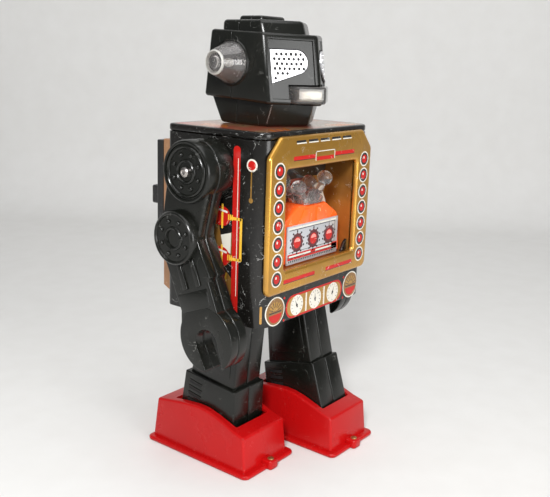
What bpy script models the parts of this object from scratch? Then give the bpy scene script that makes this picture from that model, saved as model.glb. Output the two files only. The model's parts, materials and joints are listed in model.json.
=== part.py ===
"""Battery-driven walking toy robot with a lit model engine in its chest.

The robot stands on z = 0, faces -Y, and its own right side is at -X. It is built with
its hip and shoulder shafts over the origin, and the last lines set it over the middle
of its own box. Lengths are written in millimetres and turned into metres by the
helpers. The robot is in mid-step, with its left foot ahead.
"""
from math import atan2, cos, degrees, hypot, pi, radians, sin

import bmesh
import bpy
from mathutils import Matrix, Vector

MM = 0.001
GAP = 0.3
SIDES = ((-1, "right"), (1, "left"))
KNOB_REAR = 65.0         # rearmost point; the left toe lug is the foremost
TOE_LUG = -47.4          # from the middle of a shoe

# Driving dimensions, in millimetres and degrees.
STRIDE = 24.6            # between the two feet
HIP_Z = 104.5
ANKLE_Z = 30.5
SHOULDER_Z = 191.8
LEG_X = 30.0             # middle of a leg and of its shoe
LEG_LENGTH = hypot(STRIDE / 2, HIP_Z - ANKLE_Z)
LEG_SWING = degrees(atan2(STRIDE / 2, HIP_Z - ANKLE_Z))
SHAFT_R = 2.0
BORE_R = 2.35

BODY_HALF = 55.0
BODY_FRONT = -39.3
BODY_REAR = 38.0
BODY_BOTTOM = 101.0
BODY_TOP = 211.0
BODY_CORNER_R = 9.0      # at the front; the rear corners are tighter
BODY_REAR_R = 5.0
SHEET = 1.0
CAP_TOP = 215.6

BEZEL_FACE = -42.3
BEZEL_HALF = 53.5
BEZEL_Z = (120.5, 202.5, 213.0)   # foot, shoulder where the corners start, top
WINDOW_HALF = 37.0
WINDOW_Z = (134.0, 194.0)
WINDOW_REAR = -16.0

BOX_HALF = 43.0
BOX_FRONT = 16.0
BOX_REAR = 52.9
BOX_TOP = 204.0
CELL_BAY_X = (-27.0, 41.4)
CELL_BAY_Z = (134.0, 202.0)
CELL_R = 16.8
DOOR_T = 5.6

PLATE_X = 16.0           # gearbox side plates
CRANK_Z = 124.0
CRANK_THROW = 3.3
GEAR_MODULE = 0.6
PINION_TEETH = 10
GEAR_TEETH = 36
MESH_DISTANCE = GEAR_MODULE * (PINION_TEETH + GEAR_TEETH) / 2 + 0.15

HEAD_HALF = 30.0
HEAD_SEAM = 8.7
EAR_Z = 252.5
FACE_SLOPE = 0.135       # the face comes forward by this much for each mm down

ARM_SEAM = 69.0
ELBOW = (7.8, -39.5)     # Y and Z from the shoulder
FOREARM_ANGLE = 22.0
HAND_REACH = 62.0        # from the elbow to the middle of the claw
HAND_R = 20.5


# ---------------------------------------------------------------- scene and helpers
for stale in list(bpy.data.objects):
    bpy.data.objects.remove(stale, do_unlink=True)

parts = bpy.data.collections.new("walking_engine_robot")
cutters = bpy.data.collections.new("cutters")
bpy.context.scene.collection.children.link(parts)
bpy.context.scene.collection.children.link(cutters)

# Local x, y, z of a flat outline sent to world axes: plan, front and side views.
PLAN = Matrix.Identity(4)
FRONT = Matrix(((1, 0, 0, 0), (0, 0, -1, 0), (0, 1, 0, 0), (0, 0, 0, 1)))
SIDE = Matrix(((0, 0, 1, 0), (1, 0, 0, 0), (0, 1, 0, 0), (0, 0, 0, 1)))


def material(name, colour, roughness, metallic=0.0, transmission=0.0):
    mat = bpy.data.materials.new(name)
    mat.use_nodes = True
    shader = mat.node_tree.nodes["Principled BSDF"]
    shader.inputs["Base Color"].default_value = (*colour, 1.0)
    shader.inputs["Roughness"].default_value = roughness
    shader.inputs["Metallic"].default_value = metallic
    shader.inputs["Transmission Weight"].default_value = transmission
    mat.diffuse_color = (*colour, 1.0)
    return mat


def add_object(name, mesh, mat=None):
    """Link a mesh as a sub-part, or as a cutter when it has no material."""
    obj = bpy.data.objects.new(name, mesh)
    if mat is None:
        obj.hide_render = True
        obj.display_type = "WIRE"
        cutters.objects.link(obj)
    else:
        mesh.materials.append(mat)
        parts.objects.link(obj)
    return obj


def finish_mesh(bm, name, smooth=False):
    bmesh.ops.recalc_face_normals(bm, faces=bm.faces)
    mesh = bpy.data.meshes.new(name)
    bm.to_mesh(mesh)
    bm.free()
    if smooth:
        mesh.shade_smooth()
        mesh.set_sharp_from_angle(angle=radians(32))
    return mesh


def block(name, xs, ys, zs, mat=None):
    """A box between two x, two y and two z values."""
    bm = bmesh.new()
    bmesh.ops.create_cube(bm, size=1.0)
    spans = [sorted(pair) for pair in (xs, ys, zs)]
    size = Vector([(hi - lo) * MM for lo, hi in spans])
    middle = Vector([(hi + lo) / 2 * MM for lo, hi in spans])
    bmesh.ops.scale(bm, vec=size, verts=bm.verts)
    bmesh.ops.translate(bm, vec=middle, verts=bm.verts)
    return add_object(name, finish_mesh(bm, name), mat)


def rod(name, axis, span, centre, radius, mat=None, end_radius=None, sides=24):
    """A cylinder or cone along x, y or z; centre gives the other two coordinates."""
    lo, hi = span
    bm = bmesh.new()
    bmesh.ops.create_cone(bm, cap_ends=True, segments=sides, radius1=radius * MM,
                          radius2=(radius if end_radius is None else end_radius) * MM,
                          depth=abs(hi - lo) * MM)
    if hi < lo:
        bmesh.ops.rotate(bm, matrix=Matrix.Rotation(pi, 3, "X"), verts=bm.verts)
    turn = {"x": SIDE, "y": FRONT @ Matrix.Rotation(pi, 4, "X"), "z": PLAN}[axis]
    bmesh.ops.transform(bm, matrix=turn, verts=bm.verts)
    place = list(centre)
    place.insert("xyz".index(axis), (lo + hi) / 2)
    bmesh.ops.translate(bm, vec=Vector(place) * MM, verts=bm.verts)
    return add_object(name, finish_mesh(bm, name, smooth=True), mat)


def outline(name, points, view, span, mat=None):
    """A flat outline as a filled 2D curve, extruded over a span of the third axis."""
    curve = bpy.data.curves.new(name, "CURVE")
    curve.dimensions = "2D"
    curve.fill_mode = "BOTH"
    spline = curve.splines.new("POLY")
    spline.points.add(len(points) - 1)
    for point, (u, v) in zip(spline.points, points):
        point.co = (u * MM, v * MM, 0.0, 1.0)
    spline.use_cyclic_u = True
    lo, hi = sorted(span)
    curve.extrude = (hi - lo) / 2 * MM
    guide = bpy.data.objects.new(name + "_guide", curve)
    bpy.context.scene.collection.objects.link(guide)
    bpy.context.view_layer.update()
    evaluated = guide.evaluated_get(bpy.context.evaluated_depsgraph_get())
    mesh = bpy.data.meshes.new_from_object(evaluated)
    bpy.data.objects.remove(guide, do_unlink=True)
    bm = bmesh.new()
    bm.from_mesh(mesh)
    bmesh.ops.remove_doubles(bm, verts=bm.verts, dist=0.00001)
    bmesh.ops.transform(bm, matrix=view, verts=bm.verts)
    third = view.to_3x3() @ Vector((0, 0, 1))
    sign = -1 if view is FRONT else 1
    bmesh.ops.translate(bm, vec=third * sign * (lo + hi) / 2 * MM, verts=bm.verts)
    return add_object(name, finish_mesh(bm, name, smooth=True), mat)


def turned(name, profile, centre, side, mat=None, steps=24):
    """A turned piece about an x axis; the profile is (radius, x) pairs from the outer end in.

    The profile starts and ends on the axis, so that the Screw modifier closes it.
    """
    bm = bmesh.new()
    verts = [bm.verts.new((radius * MM, 0.0, x * MM)) for radius, x in profile]
    for first, second in zip(verts, verts[1:]):
        bm.edges.new((first, second))
    mesh = bpy.data.meshes.new(name)
    bm.to_mesh(mesh)
    bm.free()
    obj = add_object(name, mesh, mat)
    screw = obj.modifiers.new("Screw", "SCREW")
    screw.axis = "Z"
    screw.steps = steps
    screw.render_steps = steps
    screw.use_merge_vertices = True
    screw.merge_threshold = 0.00001
    screw.use_smooth_shade = False
    obj.rotation_euler = (0.0, side * pi / 2, 0.0)
    obj.location = (0.0, centre[0] * MM, centre[1] * MM)
    return obj


def cut(obj, *tools, operation="DIFFERENCE", solver="EXACT"):
    for tool in tools:
        boolean = obj.modifiers.new(operation.title() + " " + tool.name, "BOOLEAN")
        boolean.operation = operation
        boolean.object = tool
        boolean.solver = solver


def join(obj, *tools, solver="EXACT"):
    cut(obj, *tools, operation="UNION", solver=solver)


def bevel(obj, width, segments=2, angle=40.0):
    modifier = obj.modifiers.new("Bevel", "BEVEL")
    modifier.width = width * MM
    modifier.segments = segments
    modifier.limit_method = "ANGLE"
    modifier.angle_limit = radians(angle)


def arc(centre, radius, start, end, steps):
    """Points of an arc, angles in degrees from the first axis."""
    angles = [radians(start + (end - start) * k / steps) for k in range(steps + 1)]
    return [(centre[0] + radius * cos(a), centre[1] + radius * sin(a)) for a in angles]


def rounded(u_span, v_span, radius, steps=4):
    """A rectangle with rounded corners."""
    (u0, u1), (v0, v1) = u_span, v_span
    corners = ((u1 - radius, v1 - radius, 0), (u0 + radius, v1 - radius, 90),
               (u0 + radius, v0 + radius, 180), (u1 - radius, v0 + radius, 270))
    return [p for u, v, start in corners for p in arc((u, v), radius, start, start + 90, steps)]


def carved(name, xs, ys, zs, planes, mat=None):
    """A box cut by planes, each a point on the plane and its outward normal."""
    obj = block(name, xs, ys, zs, mat)
    bm = bmesh.new()
    bm.from_mesh(obj.data)
    for point, normal in planes:
        geometry = bm.verts[:] + bm.edges[:] + bm.faces[:]
        sliced = bmesh.ops.bisect_plane(bm, geom=geometry, plane_co=Vector(point) * MM,
                                        plane_no=Vector(normal), clear_outer=True)
        rim = [e for e in sliced["geom_cut"] if isinstance(e, bmesh.types.BMEdge)]
        if rim:
            bmesh.ops.edgeloop_fill(bm, edges=rim)
    bmesh.ops.recalc_face_normals(bm, faces=bm.faces)
    bm.to_mesh(obj.data)
    bm.free()
    return obj


def plane_through(a, b, c, outward):
    """The plane through three points, with its normal on the side of outward."""
    a, b, c = Vector(a), Vector(b), Vector(c)
    normal = (b - a).cross(c - a).normalized()
    if normal.dot(Vector(outward)) < 0:
        normal = -normal
    return a, normal


def pivot(name, location, tilt=0.0):
    """An empty on a joint's axis, which is parallel to X."""
    empty = bpy.data.objects.new(name, None)
    empty.location = Vector(location) * MM
    empty.rotation_euler = (radians(tilt), 0.0, 0.0)
    parts.objects.link(empty)
    return empty


def attach(parent, *objects):
    """Parent objects whose meshes are written in the pivot's own untilted frame."""
    for obj in objects:
        obj.parent = parent


def span_on(side, near, far):
    """An x span on one side of the robot, near and far from its middle."""
    return tuple(sorted((side * near, side * far)))


CHARCOAL = material("charcoal_plastic", (0.055, 0.052, 0.047), 0.32, 0.25)
RED = material("red_plastic", (0.62, 0.012, 0.014), 0.22)
BLACK_TIN = material("black_printed_tin", (0.012, 0.011, 0.011), 0.25, 0.2)
GOLD_TIN = material("gold_printed_tin", (0.42, 0.24, 0.05), 0.3, 0.8)
CLEAR = material("clear_plastic", (0.93, 0.92, 0.9), 0.06, 0.0, 0.95)
ORANGE = material("orange_plastic", (0.9, 0.2, 0.02), 0.3, 0.0, 0.3)
SILVER_TIN = material("silver_printed_tin", (0.62, 0.62, 0.6), 0.3, 0.8)
TAN = material("tan_plastic", (0.36, 0.2, 0.11), 0.42)
BLACK_PLASTIC = material("black_plastic", (0.02, 0.02, 0.02), 0.35)
STEEL = material("zinc_plated_steel", (0.55, 0.55, 0.56), 0.35, 1.0)
BRASS = material("brass", (0.75, 0.55, 0.25), 0.3, 1.0)
NYLON = material("white_nylon", (0.82, 0.8, 0.74), 0.5)
RUBBER = material("black_rubber", (0.03, 0.03, 0.03), 0.8)
CELL_SKIN = material("cell_wrapper", (0.55, 0.08, 0.05), 0.35)


# ---------------------------------------------------------------- body sheet metal
def plan_half(inset):
    """The left half of the body's plan, from the rear to the front."""
    x, y0, y1 = BODY_HALF - inset, BODY_FRONT + inset, BODY_REAR - inset
    rear_r, front_r = BODY_REAR_R - inset, BODY_CORNER_R - inset
    return (arc((x - rear_r, y1 - rear_r), rear_r, 90, 0, 4)
            + arc((x - front_r, y0 + front_r), front_r, 0, -90, 6))


def mirrored(half):
    """A left half of an outline, closed by its mirror image."""
    return half + [(-u, v) for u, v in reversed(half)]


def body_section(mouth, thickness):
    """Plan section of the wrapped sheet, open at the back between x = -mouth and mouth."""
    outer = mirrored([(mouth, BODY_REAR)] + plan_half(0.0))
    inner = mirrored([(mouth, BODY_REAR - thickness)] + plan_half(thickness))
    return outer + list(reversed(inner))


def make_body():
    wrap = outline("body_wrap", body_section(47.0, SHEET), PLAN, (BODY_BOTTOM, BODY_TOP),
                   BLACK_TIN)
    window = block("cut_wrap_window", (-39.5, 39.5), (-50, -30), (131.5, 196.5))
    shoulders = rod("cut_wrap_shoulders", "x", (-60, 60), (0, SHOULDER_Z), 3.0)
    cut(wrap, window, shoulders)

    cap = outline("body_top_cap", mirrored(plan_half(0.0)), PLAN, (BODY_TOP + GAP, CAP_TOP),
                  BLACK_TIN)
    hollow = outline("cut_cap_hollow", mirrored(plan_half(SHEET)), PLAN,
                     (BODY_TOP - 5, CAP_TOP - SHEET))
    cut(cap, hollow, rod("cut_cap_neck", "z", (CAP_TOP - 3, CAP_TOP + 3), (0, 0), 8.0))

    back = block("body_back_panel", (-46.7, 46.7), (BODY_REAR - SHEET, BODY_REAR),
                 (BODY_BOTTOM, BODY_TOP), BLACK_TIN)
    cut(back, block("cut_back_panel", (-BOX_HALF - GAP, BOX_HALF + GAP), (20, 50),
                    (CELL_BAY_Z[0] - 3.3, BOX_TOP + GAP)))

    floor = outline("body_base_plate",
                    rounded((-53.6, 53.6), (BODY_FRONT + 1.4, 36.0), BODY_CORNER_R - 1.4, 3),
                    PLAN, (BODY_BOTTOM + 0.2, BODY_BOTTOM + 1.2), STEEL)
    for side, word in SIDES:
        cut(floor, block("cut_floor_" + word, (side * 14.5, side * 45.5), (-27, 27), (95, 110)))


def make_bezel():
    """Raised gold frame round the window, whose top corners are cut off."""
    low, shoulder, top = BEZEL_Z
    half = arc((BEZEL_HALF - 4.0, low + 4.0), 4.0, 270, 360, 3) + [(BEZEL_HALF, shoulder),
                                                                 (43.5, top)]
    frame = outline("chest_bezel", mirrored(half), FRONT, (BODY_FRONT - GAP, BEZEL_FACE),
                    GOLD_TIN)
    bevel(frame, 1.6, 2)
    cut(frame, outline("cut_bezel_window",
                       rounded((-WINDOW_HALF, WINDOW_HALF), WINDOW_Z, 2.5, 3),
                       FRONT, (-50.0, -30.0)))

    tray = block("window_box", (-38.8, 38.8), (-38.0, WINDOW_REAR), (132.0, 196.0), GOLD_TIN)
    cut(tray, block("cut_window_box", (-37.6, 37.6), (-45.0, WINDOW_REAR - SHEET),
                    (133.2, 194.8)))


# ---------------------------------------------------------------- engine in the window
PISTON_ANGLE = 40.0
PISTON_TRAVEL = 5.0


def make_engine():
    """Orange block with a printed front plate, and clear pistons in a V over it."""
    body = [(-26.0, 134.0), (26.0, 134.0), (27.0, 157.0), (15.5, 168.5), (-15.5, 168.5),
            (-27.0, 157.0)]
    shell = outline("engine_block", body, FRONT, (-34.5, -18.0), ORANGE)
    hollow = [(-24.0, 136.0), (24.0, 136.0), (25.0, 156.0), (14.5, 166.5), (-14.5, 166.5),
              (-25.0, 156.0)]
    cut(shell, outline("cut_engine_hollow", hollow, FRONT, (-32.5, -10.0)))

    plate = block("engine_plate", (-27.0, 27.0), (-36.0, -34.8), (134.0, 158.0), SILVER_TIN)
    bevel(plate, 0.5, 1)

    guide = outline("piston_guide", [(-10.5, 168.8), (10.5, 168.8), (12.5, 171.5),
                                     (6.0, 179.0), (-6.0, 179.0), (-12.5, 171.5)],
                    FRONT, (-35.5, -18.5), CLEAR)
    tilt = Matrix.Rotation(radians(PISTON_ANGLE), 4, "Y")
    for side, word in SIDES:
        for y, row in ((-32.0, "front"), (-22.2, "rear")):
            drop = 0.0 if (side > 0) == (row == "front") else PISTON_TRAVEL
            piston = rod(f"piston_{word}_{row}", "z", (12.5 - drop, 24.0 - drop), (0, 0),
                         2.0, CLEAR, sides=16)
            head = rod(f"join_piston_{word}_{row}", "z", (20.0 - drop, 25.5 - drop), (0, 0),
                       4.6, end_radius=4.0, sides=20)
            join(piston, head)
            bore = rod(f"cut_guide_{word}_{row}", "z", (3.0, 20.0), (0, 0), 2.4, sides=16)
            cut(guide, bore)
            for obj in (piston, head, bore):
                obj.rotation_euler = (0.0, side * radians(PISTON_ANGLE), 0.0)
                obj.location = Vector((0.0, y, 165.0)) * MM

    bulb = rod("chest_lamp", "y", (-17.3, -24.0), (0, 150.0), 3.2, CLEAR, end_radius=2.6)
    join(bulb, rod("join_lamp_cap", "y", (-13.0, -19.0), (0, 150.0), 4.2))
    hole = rod("cut_lamp_hole", "y", (-25.0, -10.0), (0, 150.0), 4.6)
    cut(bpy.data.objects["window_box"], hole)


# ---------------------------------------------------------------- battery box and switch
def make_power():
    side_view = [(BODY_REAR + GAP, 103.5), (44.0, 103.5), (BOX_REAR, 108.0),
                 (BOX_REAR, BOX_TOP), (BOX_FRONT, BOX_TOP), (BOX_FRONT, CELL_BAY_Z[0] - 3.0),
                 (BODY_REAR + GAP, CELL_BAY_Z[0] - 3.0)]
    box = outline("battery_box", side_view, SIDE, (-BOX_HALF, BOX_HALF), TAN)
    cut(box, block("cut_cell_bay", CELL_BAY_X, (BOX_FRONT + 1.5, 60), CELL_BAY_Z),
        block("cut_box_low", (-BOX_HALF + 2, BOX_HALF - 2), (BODY_REAR - 5, BOX_REAR - 2),
              (109.5, CELL_BAY_Z[0] - 5)),
        block("cut_box_switch_bay", (-BOX_HALF + 2, CELL_BAY_X[0] - 2), (BOX_FRONT + 1.5, 60),
              CELL_BAY_Z))

    rear = (BOX_REAR + GAP, BOX_REAR + GAP + DOOR_T)
    plate = block("switch_plate", (-BOX_HALF, CELL_BAY_X[0] - 1.3), rear, (134.0, 203.0),
                  BLACK_PLASTIC)
    bevel(plate, 0.8, 2)
    knob = block("switch_knob", (-41.7, -36.2), (rear[1] + GAP, KNOB_REAR), (161.0, 173.0),
                 BLACK_PLASTIC)
    bevel(knob, 1.2, 2)

    half = DOOR_T / 2
    hinge = (rear[0] + half, 134.0 + half)
    profile = [(rear[0], 203.0), (rear[1], 203.0)]
    profile = arc(hinge, half, 180, 360, 8) + list(reversed(profile))
    door = outline("battery_door", [(y - hinge[0], z - hinge[1]) for y, z in profile], SIDE,
                   (CELL_BAY_X[0] - 0.7, BOX_HALF), BLACK_PLASTIC)
    door.location = (0.0, hinge[0] * MM, hinge[1] * MM)

    for word, x in (("right", CELL_BAY_X[0] + CELL_R + GAP),
                    ("left", CELL_BAY_X[1] - CELL_R - GAP)):
        y = BOX_FRONT + 1.5 + GAP + CELL_R
        cell = rod("battery_cell_" + word, "z", (137.0, 197.0), (x, y), CELL_R, CELL_SKIN,
                   sides=32)
        join(cell, rod("join_cell_" + word, "z", (190.0, 199.0), (x, y), 4.8))
    block("cell_contact_strip", (-22.0, 37.0), (24.0, 40.0), (134.8, 136.4), BRASS)


# ---------------------------------------------------------------- gearbox
def gear_points(teeth, centre=(0.0, 0.0), turn=0.0):
    """Outline of a spur gear: four points to a tooth."""
    pitch = GEAR_MODULE * teeth / 2
    root, tip = pitch - 1.2 * GEAR_MODULE, pitch + 0.9 * GEAR_MODULE
    step = 2 * pi / teeth
    points = []
    for k in range(teeth):
        for radius, share in ((root, -0.32), (tip, -0.13), (tip, 0.13), (root, 0.32)):
            angle = turn + (k + share) * step
            points.append((centre[0] + radius * cos(angle), centre[1] + radius * sin(angle)))
    return points


def make_wheel(name, z, big_x, small_x, big_turn, small_turn):
    """A wheel and its pinion moulded in one piece, turning on its own axle."""
    wheel = outline(name, gear_points(GEAR_TEETH, turn=big_turn), SIDE, big_x, NYLON)
    join(wheel, outline("join_" + name, gear_points(PINION_TEETH, turn=small_turn), SIDE,
                        small_x),
         rod("axle_" + name, "x", (-PLATE_X + 0.8, PLATE_X - 0.8), (0, 0), 1.2, sides=12))
    for obj in (wheel, bpy.data.objects["join_" + name], bpy.data.objects["axle_" + name]):
        obj.location = (0.0, 0.0, z * MM)


def make_gearbox():
    second_z = CRANK_Z + MESH_DISTANCE
    first_z = second_z + MESH_DISTANCE
    motor_z = first_z + MESH_DISTANCE
    half_tooth = pi / GEAR_TEETH
    half_pinion = pi / PINION_TEETH

    for side, word in SIDES:
        plate = outline("gearbox_plate_" + word, rounded((-11.5, 11.5), (102.9, 181.0), 3.0, 2),
                        SIDE, (side * (PLATE_X - 0.5), side * (PLATE_X + 0.5)), STEEL)
        bores = [(HIP_Z, BORE_R), (CRANK_Z, 1.9), (second_z, 1.6), (first_z, 1.6)]
        for k, (z, radius) in enumerate(bores):
            cut(plate, rod(f"cut_plate_{word}_{k}", "x", (side * 14, side * 18), (0, z), radius,
                           sides=16))
    for y, word in ((-8.6, "front"), (8.6, "rear")):
        rod("gearbox_post_" + word, "x", (-PLATE_X + 0.8, PLATE_X - 0.8), (y, 178.5), 1.6,
            STEEL, sides=12)

    can = rod("motor", "x", (-PLATE_X + 0.8, 4.5), (0, motor_z), 10.4, STEEL, sides=28)
    join(can, rod("join_motor_boss", "x", (3.0, 7.0), (0, motor_z), 3.2, sides=16))
    pinion = outline("motor_pinion", gear_points(PINION_TEETH, turn=half_pinion), SIDE,
                     (11.4, 15.0), BRASS)
    join(pinion, rod("join_motor_shaft", "x", (7.3, 12.0), (0, 0), 1.0, sides=12))
    for obj in (pinion, bpy.data.objects["join_motor_shaft"]):
        obj.location = (0.0, 0.0, motor_z * MM)

    make_wheel("gear_first", first_z, (12.0, 14.4), (7.2, 12.5), pi / 2 + half_tooth, half_pinion)
    make_wheel("gear_second", second_z, (8.0, 11.2), (3.0, 8.5), pi / 2 + half_tooth, half_pinion)
    drive = outline("gear_drive", gear_points(GEAR_TEETH, turn=pi / 2 + half_tooth), SIDE,
                    (3.4, 6.6), NYLON)
    bore = rod("cut_gear_drive", "x", (2.0, 8.0), (0, 0), 1.8, sides=16)
    cut(drive, bore)
    for obj in (drive, bore):
        obj.location = (0.0, 0.0, CRANK_Z * MM)

    rod("crank_axle", "x", (-PLATE_X - 3.0, PLATE_X + 3.0), (0, CRANK_Z), 1.5, STEEL, sides=16)
    for side, word in SIDES:
        outer = PLATE_X + 1.0
        disc = rod("crank_disc_" + word, "x", (side * outer, side * (outer + 1.6)),
                   (0, CRANK_Z), 6.2, STEEL, sides=24)
        join(disc, rod("join_crank_pin_" + word, "x", (side * outer, side * (outer + 3.0)),
                       (side * CRANK_THROW, CRANK_Z), 1.3, sides=12))
        cut(disc, rod("cut_crank_disc_" + word, "x", (side * 15, side * 22), (0, CRANK_Z), 1.7,
                      sides=16))

    rod("hip_shaft", "x", (-47.0, 47.0), (0, HIP_Z), SHAFT_R, STEEL, sides=16)
    rod("shoulder_shaft", "x", (-74.0, 74.0), (0, SHOULDER_Z), SHAFT_R, STEEL, sides=16)


# ---------------------------------------------------------------- legs
COLUMN = arc((0, 0), 13.0, 0, 180, 8) + [(-15.5, -8.0), (-18.6, -50.0), (18.2, -52.5),
                                         (15.0, -8.0)]
BOOT = [(-20.6, -49.7), (-26.0, -86.5), (21.6, -86.5), (21.6, -52.2)]
LEG_WALL = 2.0


def make_leg(side, word, tilt):
    """Two moulded halves on the hip shaft: an upper leg, and a boot that dips into the shoe."""
    hip = pivot(word + "_leg", (0, 0, HIP_Z), tilt)
    bores = [rod(f"cut_leg_{word}_{end}", "x", (side * 10, side * 50), (0, z), BORE_R, sides=16)
             for end, z in (("hip", 0.0), ("ankle", -LEG_LENGTH))]
    attach(hip, *bores)
    halves = (("outer", LEG_X + GAP / 2, LEG_X + 13.0, LEG_X + 14.8),
              ("inner", LEG_X - GAP / 2, LEG_X - 13.0, LEG_X - 14.8))
    for half, seam, column_x, boot_x in halves:
        inward = -1 if half == "outer" else 1
        wall = inward * LEG_WALL
        name = f"leg_{word}_{half}"
        leg = outline(name, COLUMN, SIDE, span_on(side, seam, column_x), CHARCOAL)
        boot = outline("join_" + name, BOOT, SIDE, span_on(side, seam, boot_x))
        bevel(boot, 0.9, 1, 50.0)
        join(leg, boot)
        hollow = [(-9.0, 8.0), (-15.0, -30.0), (-16.4, -52.0), (-18.4, -54.0), (-23.2, -84.5),
                  (19.4, -84.5), (19.4, -56.0), (16.0, -54.0), (12.5, -30.0), (9.0, 8.0)]
        core = outline("cut_core_" + name, hollow, SIDE,
                       span_on(side, seam - inward * -1.0, column_x + wall))
        cut(leg, core, *bores)
        attach(hip, leg, boot, core)
        for k in range(4):
            z = -57.5 - 4.6 * k
            louvre = block(f"cut_louvre_{name}_{k}",
                           (side * (boot_x + inward * 0.9), side * (boot_x - inward)),
                           (6.0, 16.5), (z, z - 2.0))
            cut(leg, louvre)
            attach(hip, louvre)
        if half == "inner":
            slot = [(-4.6, 8.0), (-4.6, 22.5), (-2.0, 22.5), (-2.0, 14.0), (2.0, 14.0),
                    (2.0, 22.5), (4.6, 22.5), (4.6, 8.0)]
            fork = outline("join_fork_" + name, slot, SIDE, span_on(side, 20.4, 22.4))
            join(leg, fork)
            attach(hip, fork)


# ---------------------------------------------------------------- feet
SHOE_NEAR, SHOE_FAR = 8.7, 51.3
FLANGE_NEAR, FLANGE_FAR = 4.5, 55.0
ROLLER_Y, ROLLER_R = -22.0, 7.0


def make_foot(side, word, y):
    """Hollow shoe with a wide rim, closed below by a sole plate that holds a roller."""
    foot = pivot(word + "_foot", (0, y, 0))
    upper = [(-39.6, 0.5), (-37.8, 26.9), (-21.0, 32.3), (-3.7, 35.6), (16.0, 34.0),
             (38.6, 30.1), (41.6, 0.5)]
    shoe = outline("shoe_" + word, upper, SIDE, span_on(side, SHOE_NEAR, SHOE_FAR), RED)
    bevel(shoe, 0.9, 2)
    rim = outline("join_rim_" + word,
                  rounded(span_on(side, FLANGE_NEAR, FLANGE_FAR), (-44.1, 44.3), 3.0, 3), PLAN,
                  (0.0, 1.7))
    lug = block("join_lug_" + word, (side * 26.0, side * 34.0), (TOE_LUG, -39.0), (0.0, 6.0))
    join(shoe, rim, lug)
    inside = [(-37.4, -1.0), (-35.7, 25.4), (-20.0, 30.2), (-3.7, 33.4), (16.0, 31.8),
              (36.6, 28.2), (39.4, -1.0)]
    hollow = outline("cut_shoe_hollow_" + word, inside, SIDE, span_on(side, 10.7, 49.3))
    top = block("cut_shoe_top_" + word, (side * 14.4, side * 45.6), (-27.6, 26.2), (20, 40))
    cut(shoe, hollow, top)

    sole = block("sole_plate_" + word, (side * 11.0, side * 49.0), (-37.0, 39.0), (0.0, 1.6),
                 STEEL)
    ears = [block(f"join_ear_{word}_{k}", (side * x, side * (x + 1.4)),
                  (ROLLER_Y - 4, ROLLER_Y + 4), (0.0, 11.0)) for k, x in ((0, 23.0), (1, 35.6))]
    join(sole, *ears)
    slot = block("cut_sole_slot_" + word, (side * 24.9, side * 35.1),
                 (ROLLER_Y - 8, ROLLER_Y + 8), (-1.0, 3.0))
    bore = rod("cut_sole_bore_" + word, "x", (side * 20, side * 40), (ROLLER_Y, ROLLER_R + 0.2),
               1.6, sides=16)
    cut(sole, slot, bore)

    pin = rod("ankle_pin_" + word, "x", (side * 11.0, side * 49.0), (0, ANKLE_Z), SHAFT_R,
              STEEL, sides=16)
    roller = rod("roller_" + word, "x", (side * 25.2, side * 34.8), (0, 0), ROLLER_R, RUBBER,
                 sides=28)
    stub = rod("join_stub_" + word, "x", (side * 22.0, side * 38.0), (0, 0), 1.2, sides=12)
    join(roller, stub)
    for obj in (roller, stub):
        obj.location = Vector((0, ROLLER_Y, ROLLER_R + 0.2)) * MM
    attach(foot, shoe, rim, lug, hollow, top, sole, *ears, slot, bore, pin, roller, stub)


# ---------------------------------------------------------------- arms
def forearm_point(along, across):
    """A point of the forearm's own grid, from the elbow; across is forward."""
    a = radians(FOREARM_ANGLE)
    return (ELBOW[0] - along * sin(a) - across * cos(a),
            ELBOW[1] - along * cos(a) + across * sin(a))


def upper_arm_outline():
    """Tangent band round the shoulder and the elbow."""
    heading = degrees(atan2(ELBOW[1], ELBOW[0]))
    return (arc((0, 0), 16.8, heading + 92, heading + 268, 10)
            + arc(ELBOW, 15.0, heading - 92, heading + 92, 10))


def claw_outline():
    """Open ring at the wrist: the slot points along the forearm."""
    centre = forearm_point(HAND_REACH, 0)
    down = 270.0 - FOREARM_ANGLE
    outer = arc(centre, HAND_R, down + 24, down + 336, 18)
    inner = arc(centre, 7.4, down + 282, down + 78, 12)
    jaw_a = forearm_point(HAND_REACH + 17.0, -7.2)
    jaw_b = forearm_point(HAND_REACH + 17.0, 7.2)
    return outer + [jaw_b] + inner + [jaw_a]


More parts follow.
